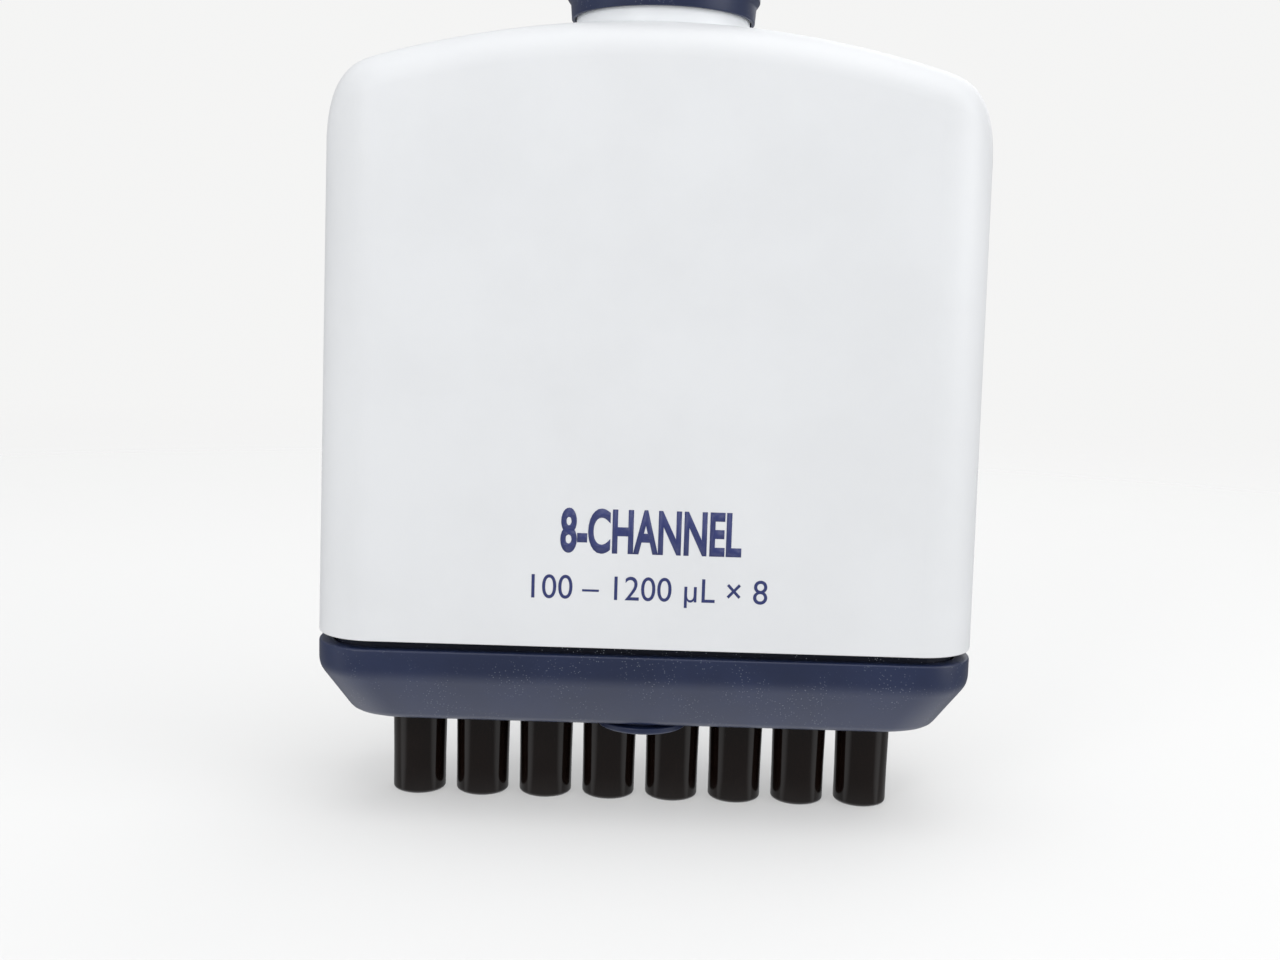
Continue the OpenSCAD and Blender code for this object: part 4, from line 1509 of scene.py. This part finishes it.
    def build_window(self) -> None:
        """Builds the clear window over the number drums and the dark mask round the figures."""
        low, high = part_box("display_window")
        trim = Bench.block("window_trim", (low.x, -25 * MM, low.z), (high.x, -5 * MM, high.z))
        Bench.bevel(trim, runs("y"), 0.8 * MM, 4)
        window = self.wrapped("window_pane", 0.45 * MM, -1.7 * MM, trim)
        Bench.tidy(window)
        Bench.smooth(window, 30)
        self.builder.place(window, "window_clear", "handle", ["display_window"])
        over = Vector((1.2, 0, 1)) * MM
        mask = Bench.block(
            "window_mask",
            Vector((low.x, -11.4 * MM, low.z)) - over,
            Vector((high.x, -10.9 * MM, high.z)) + over,
        )
        for node in ("tens_drum", "hundreds_drum", "thousands_drum"):
            bottom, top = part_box(node)
            half, rim = self.figure_half_width, 0.7 * MM
            opening = Bench.block("mask_hole", (-half, -13 * MM, bottom.z + rim), (half, -9 * MM, top.z - rim))
            Bench.bevel(opening, runs("y"), 0.6 * MM, 3)
            Bench.boolean(mask, opening, Cut.AWAY)
        self.builder.place(mask, "base_black", "handle")

    def build_hook(self) -> None:
        """Builds the finger hook: a hollow for the finger, a round tip and a flared root."""
        y, z = self.hook_centre
        middle = self.hook_radius + self.hook_thickness / 2
        tip = (y + middle * math.cos(math.radians(15)), z + middle * math.sin(math.radians(15)))
        path = [
            (15.5 * MM, z + 1 * MM),
            *arc((y, z), self.hook_radius, 170, 15, 24),
            *arc(tip, self.hook_thickness / 2, 195, 375, 12)[1:-1],
            *arc((y, z), self.hook_radius + self.hook_thickness, 15, 100, 18),
            *arc((y - 5.6 * MM, z + 24.2 * MM), 9 * MM, 288, 205, 12),
            (15.5 * MM, z + 21 * MM),
        ]
        half = self.hook_width / 2
        hook = Bench.slab("hook", [(-half, a, b) for a, b in path], (2 * half, 0, 0))

        def outer(edge: Edge) -> bool:
            """Edge round one side of the hook, clear of the handle."""
            one, two = (v.co for v in edge.verts)
            return abs(abs(one.x) - half) < TINY and abs(one.x - two.x) < TINY and max(one.y, two.y) > 16.5 * MM

        Bench.bevel(hook, outer, 1.3 * MM, 5)
        Bench.smooth(hook, 35)
        self.builder.place(hook, "skirt_navy", "handle", ["finger_hook"])

    def build_unit(self) -> None:
        """Prints the unit of volume under the window."""
        z = 190.4 * MM
        unit = lettering("print_unit", "µL", 3.2 * MM, None, 0.01)
        Bench.move(unit, (0, self.front(z) - 0.01 * MM, z))
        self.builder.place(unit, "print_navy", "handle")


@dataclass
class Display:
    """Figures on the three number drums, which show the volume in tens of microlitres."""

    builder: Builder
    reading: tuple[tuple[str, int], ...] = (("thousands_drum", 1), ("hundreds_drum", 2), ("tens_drum", 0))

    def build(self) -> None:
        """Puts ten figures round each drum, with the reading at the front."""
        for drum, shown in self.reading:
            low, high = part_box(drum)
            figures = []
            for figure in range(10):
                text = lettering("figure", str(figure), 4.2 * MM, None, 0.012)
                turn = math.radians(36 * (shown - figure))
                radius = high.x + 0.03 * MM
                centre = (radius * math.sin(turn), -radius * math.cos(turn), (low.z + high.z) / 2)
                Bench.move(text, centre, turn)
                figures.append(text)
            self.builder.place(Bench.join(figures, f"{drum}_figures"), "print_navy", drum)


@dataclass
class TopControls:
    """Plunger knob with its cap, volume lock, top collar and ejector button."""

    builder: Builder
    knob_flutes: int = 18

    def build(self) -> None:
        """Builds every control on top of the handle."""
        self.build_knob()
        self.build_collar()
        self.build_lock()
        self.build_button()

    def build_knob(self) -> None:
        """Turns the knob, cuts its flutes and fits its coloured cap."""
        low, high = box_mm("plunger_knob")
        r, bore, foot, top = high.x, 3.42, low.z, high.z
        side = ((bore, foot, 0), (r - 1.4, foot, 0.6), (r - 0.4, foot + 1.4, 0.8), (r, top - 2.4, 0))
        rim = ((7.1, top - 0.05), (7, top - 0.3), (7, top - 2.3), (bore, top - 2.3))
        profile = [
            *fillet(side, 4)[:-1],
            *arc(((r - 2.4) * MM, (top - 2.4) * MM), 2.4 * MM, 0, 88, 9),
            *((x * MM, z * MM) for x, z in rim),
        ]
        knob = Bench.lathe("knob", profile, 144)
        Bench.flute(knob, self.knob_flutes, r + 0.3, 0.8, foot + 1.6, foot + 9.6)
        self.builder.place(knob, "housing_white", "volume_knob", ["plunger_knob"])
        low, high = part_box("knob_cap")
        r = high.x
        profile = [
            (0, low.z),
            (r, low.z),
            (r, high.z - 0.9 * MM),
            *arc((r - 0.8 * MM, high.z - 1.1 * MM), 0.8 * MM, 0, 80, 5),
            (r - 2.4 * MM, high.z - 0.12 * MM),
            (2.5 * MM, high.z - 0.01 * MM),
            (0, high.z),
        ]
        cap = Bench.lathe("cap", profile, 96)
        self.builder.place(cap, "skirt_navy", "volume_knob", ["knob_cap"])

    def build_collar(self) -> None:
        """Turns the collar that guides the plunger out of the handle."""
        low, high = box_mm("top_collar")
        r, bore, foot, top = high.x, 3.55, low.z, high.z
        corners = (
            (bore, foot, 0), (r, foot, 0), (r, foot + 2.8, 0), (6.1, foot + 2.8, 0), (6.1, top - 1.3, 0),
            (7.5, top - 1.3, 0.1), (7.1, top, 0.5), (bore, top, 0.3),
        )
        collar = Bench.lathe("stem_collar", fillet(corners, 4), 96)
        self.builder.place(collar, "skirt_navy", "handle", ["top_collar"])

    def build_lock(self) -> None:
        """Builds the lock ring with its ribbed thumb tab."""
        low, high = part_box("lock_ring")
        profile = [(8.1 * MM, low.z), (10.2 * MM, low.z), (10.2 * MM, high.z), (8.1 * MM, high.z)]
        ring = Bench.lathe("volume_lock", profile, 96)
        tab = Bench.block("tab", (9.6 * MM, -2.6 * MM, low.z), (18.2 * MM, 2.6 * MM, high.z))
        Bench.bevel(tab, lambda e: min(v.co.x for v in e.verts) > 18 * MM, 0.7 * MM, 4)
        middle = (low.z + high.z) / 2
        ribs = [
            Bench.rod("rib", 0.3 * MM, 8 * MM, (18.3 * MM, y * MM, middle), Axis.Z, 14)
            for y in (-1.4, -0.47, 0.47, 1.4)
        ]
        Bench.boolean(tab, Bench.join(ribs, "ribs"), Cut.AWAY)
        Bench.move(tab, (0, 0, 0), math.radians(168))
        Bench.boolean(ring, tab, Cut.JOIN)
        Bench.smooth(ring, 30)
        self.builder.place(ring, "grip_navy", "lock_ring", ["lock_ring"])

    def build_button(self) -> None:
        """Builds the tip-ejector button: a rounded, dished thumb plate on a flat stem."""
        low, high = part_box("ejector_button")
        base = high.z - 7.5 * MM
        path = [*arc((0, 15.8 * MM), 5.6 * MM, 186, 354, 16), *arc((0, 21.4 * MM), 5 * MM, 6, 174, 16)]
        plate = Bench.slab("ejector_plate", [(x, y, base) for x, y in path], (0, 0, high.z - base))
        Bench.bevel(plate, lambda e: all(v.co.z > high.z - TINY for v in e.verts), 1.5 * MM, 6)
        Bench.bevel(plate, lambda e: all(v.co.z < base + TINY for v in e.verts), 0.5 * MM, 3)
        dish = Bench.rod("dish", 26 * MM, 30 * MM, (0, 18.4 * MM, high.z + 25.4 * MM), Axis.X, 160)
        Bench.boolean(plate, dish, Cut.AWAY)
        stem = Bench.block("stem", (-3.8 * MM, 10.6 * MM, low.z), (3.8 * MM, 15.8 * MM, base + MM))
        Bench.bevel(stem, runs("z"), 0.6 * MM, 3)
        foot = Bench.block("foot", (-3 * MM, 8.3 * MM, low.z), (3 * MM, 11.3 * MM, low.z + 2 * MM))
        for addition in (stem, foot):
            Bench.boolean(plate, addition, Cut.JOIN)
        Bench.smooth(plate, 32)
        self.builder.place(plate, "skirt_navy", "ejector", ["ejector_button"])


# ---------------------------------------------------------------- stage


@dataclass
class Stage:
    """Floor, light and camera."""

    lens: float = 39.9
    tilt: float = math.radians(7.13)
    roll: float = math.radians(1.75)
    distance: float = 0.1982
    near: float = 10 * MM
    floor_size: float = 8.0
    clear_floor: float = 0.12
    faded_floor: float = 0.75
    floor_glow: float = 0.02
    floor_cover: float = 0.62
    room_glow: float = 0.7
    front_glow: float = 0.3
    side_glow: float = 0.6
    side_edges: tuple[float, float] = (0.72, 0.9)
    front_edges: tuple[float, float] = (-0.2, 0.05)
    below_glow: float = 1.1
    below_edges: tuple[float, float] = (0.35, 0.9)
    above_glow: float = 0.8
    above_edges: tuple[float, float] = (0.3, 0.8)
    target: Vector = field(default_factory=lambda: Vector((-1.25 * MM, 0, 45.1 * MM)))

    def build(self) -> None:
        """Builds the floor, the lights and the camera."""
        self.build_floor()
        self.build_world()
        self.build_lights()
        self.build_camera()
        bpy.context.scene.view_settings.view_transform = "Standard"

    def build_floor(self) -> None:
        """Lays the pale floor under the shafts."""
        Bench.clear()
        bpy.ops.mesh.primitive_plane_add(size=self.floor_size, location=(0, 0, 0))
        floor = Bench.settle("floor")
        graph = Graph("floor_paint")
        cloud = graph.noise(3, 3)
        colour = graph.mix(cloud, (0.87, 0.868, 0.865), (0.90, 0.898, 0.895))
        away = (graph.axis("X") ** 2 + graph.axis("Y") ** 2) ** 0.5
        paint = graph.surface(
            Base_Color=colour,
            Roughness=0.8,
            Specular_IOR_Level=0.1,
            Alpha=(1 - away.step(self.clear_floor, self.faded_floor)) * self.floor_cover,
            Emission_Color=(1.0, 0.99, 0.98),
            Emission_Strength=self.floor_glow,
        )
        floor.data.materials.append(paint)
        floor.visible_glossy = False

    def build_world(self) -> None:
        """Lights the room: dim in front, bright at the sides and below, plain white to the camera."""
        world = bpy.data.worlds.new("room")
        bpy.context.scene.world = world
        world.use_nodes = True
        graph = Graph.of_tree(world.node_tree)
        direction = graph.node("ShaderNodeTexCoord").outputs["Generated"]
        split = graph.node("ShaderNodeSeparateXYZ", inputs={0: direction})
        across, ahead, up = (Value(graph, split.outputs[k]) for k in range(3))
        path = graph.node("ShaderNodeLightPath")
        in_front = 1 - ahead.step(*self.front_edges)
        sides = across.size().step(*self.side_edges) * in_front * self.side_glow
        below = (0 - up).step(*self.below_edges) * self.below_glow
        above = up.step(*self.above_edges) * self.above_glow
        mirrored = sides.at_least(below).at_least(above) + self.front_glow
        glossy = Value(graph, path.outputs["Is Glossy Ray"])
        room = graph.node(
            "ShaderNodeBackground",
            inputs={"Color": (0.98, 0.99, 1.0), "Strength": glossy * mirrored + (1 - glossy) * self.room_glow},
        )
        seen = graph.node("ShaderNodeBackground", inputs={"Color": (0.91, 0.91, 0.905)})
        mixed = graph.node(
            "ShaderNodeMixShader", inputs={0: path.outputs["Is Camera Ray"], 1: room.outputs[0], 2: seen.outputs[0]}
        )
        graph.node("ShaderNodeOutputWorld", inputs={"Surface": mixed.outputs[0]})

    def build_lights(self) -> None:
        """Hangs the soft boxes: a key from the left front, a fill from the right, and one overhead."""
        for name, place, aim, size, power in (
            ("key", (-0.55, -0.85, 0.45), (0, 0, 0.08), 0.35, 2.3),
            ("fill", (0.9, -0.35, 0.35), (0, 0, 0.06), 0.6, 2.5),
            ("top", (0.1, -0.25, 1.2), (0, 0, 0.05), 0.9, 4.2),
            ("back", (0.5, 1.1, 0.7), (0, 0, 0.1), 0.9, 2.5),
        ):
            lamp = bpy.data.lights.new(name, "AREA")
            lamp.size, lamp.energy = size, power
            holder = bpy.data.objects.new(name, lamp)
            bpy.context.scene.collection.objects.link(holder)
            holder.location = place
            holder.rotation_euler = (Vector(aim) - Vector(place)).to_track_quat("-Z", "Y").to_euler()

    def build_camera(self) -> None:
        """Sets the camera in front, a little above the middle of the head and rolled slightly."""
        data = bpy.data.cameras.new("camera")
        data.lens, data.sensor_width = self.lens, 36.0
        data.clip_start = self.near
        camera = bpy.data.objects.new("camera", data)
        bpy.context.scene.collection.objects.link(camera)
        back = Vector((0, -math.cos(self.tilt), math.sin(self.tilt)))
        camera.location = self.target + back * self.distance
        look = (-back).to_track_quat("-Z", "Y").to_matrix()
        camera.rotation_euler = (look @ Matrix.Rotation(self.roll, 3, "Z")).to_euler()
        bpy.context.scene.camera = camera


def main() -> None:
    """Builds the looks of the whole pipette round its frame."""
    logging.basicConfig(level=logging.INFO, format="%(message)s")
    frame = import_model()
    finishes = Finishes()
    finishes.dress_frame(frame)
    builder = Builder(finishes)
    for assembly in (
        Head(builder),
        Skirt(builder),
        Coupling(builder),
        Handle(builder),
        Display(builder),
        TopControls(builder),
        Stage(),
    ):
        assembly.build()
        log.info("%s is built", type(assembly).__name__)


if __name__ == "__main__":
    main()
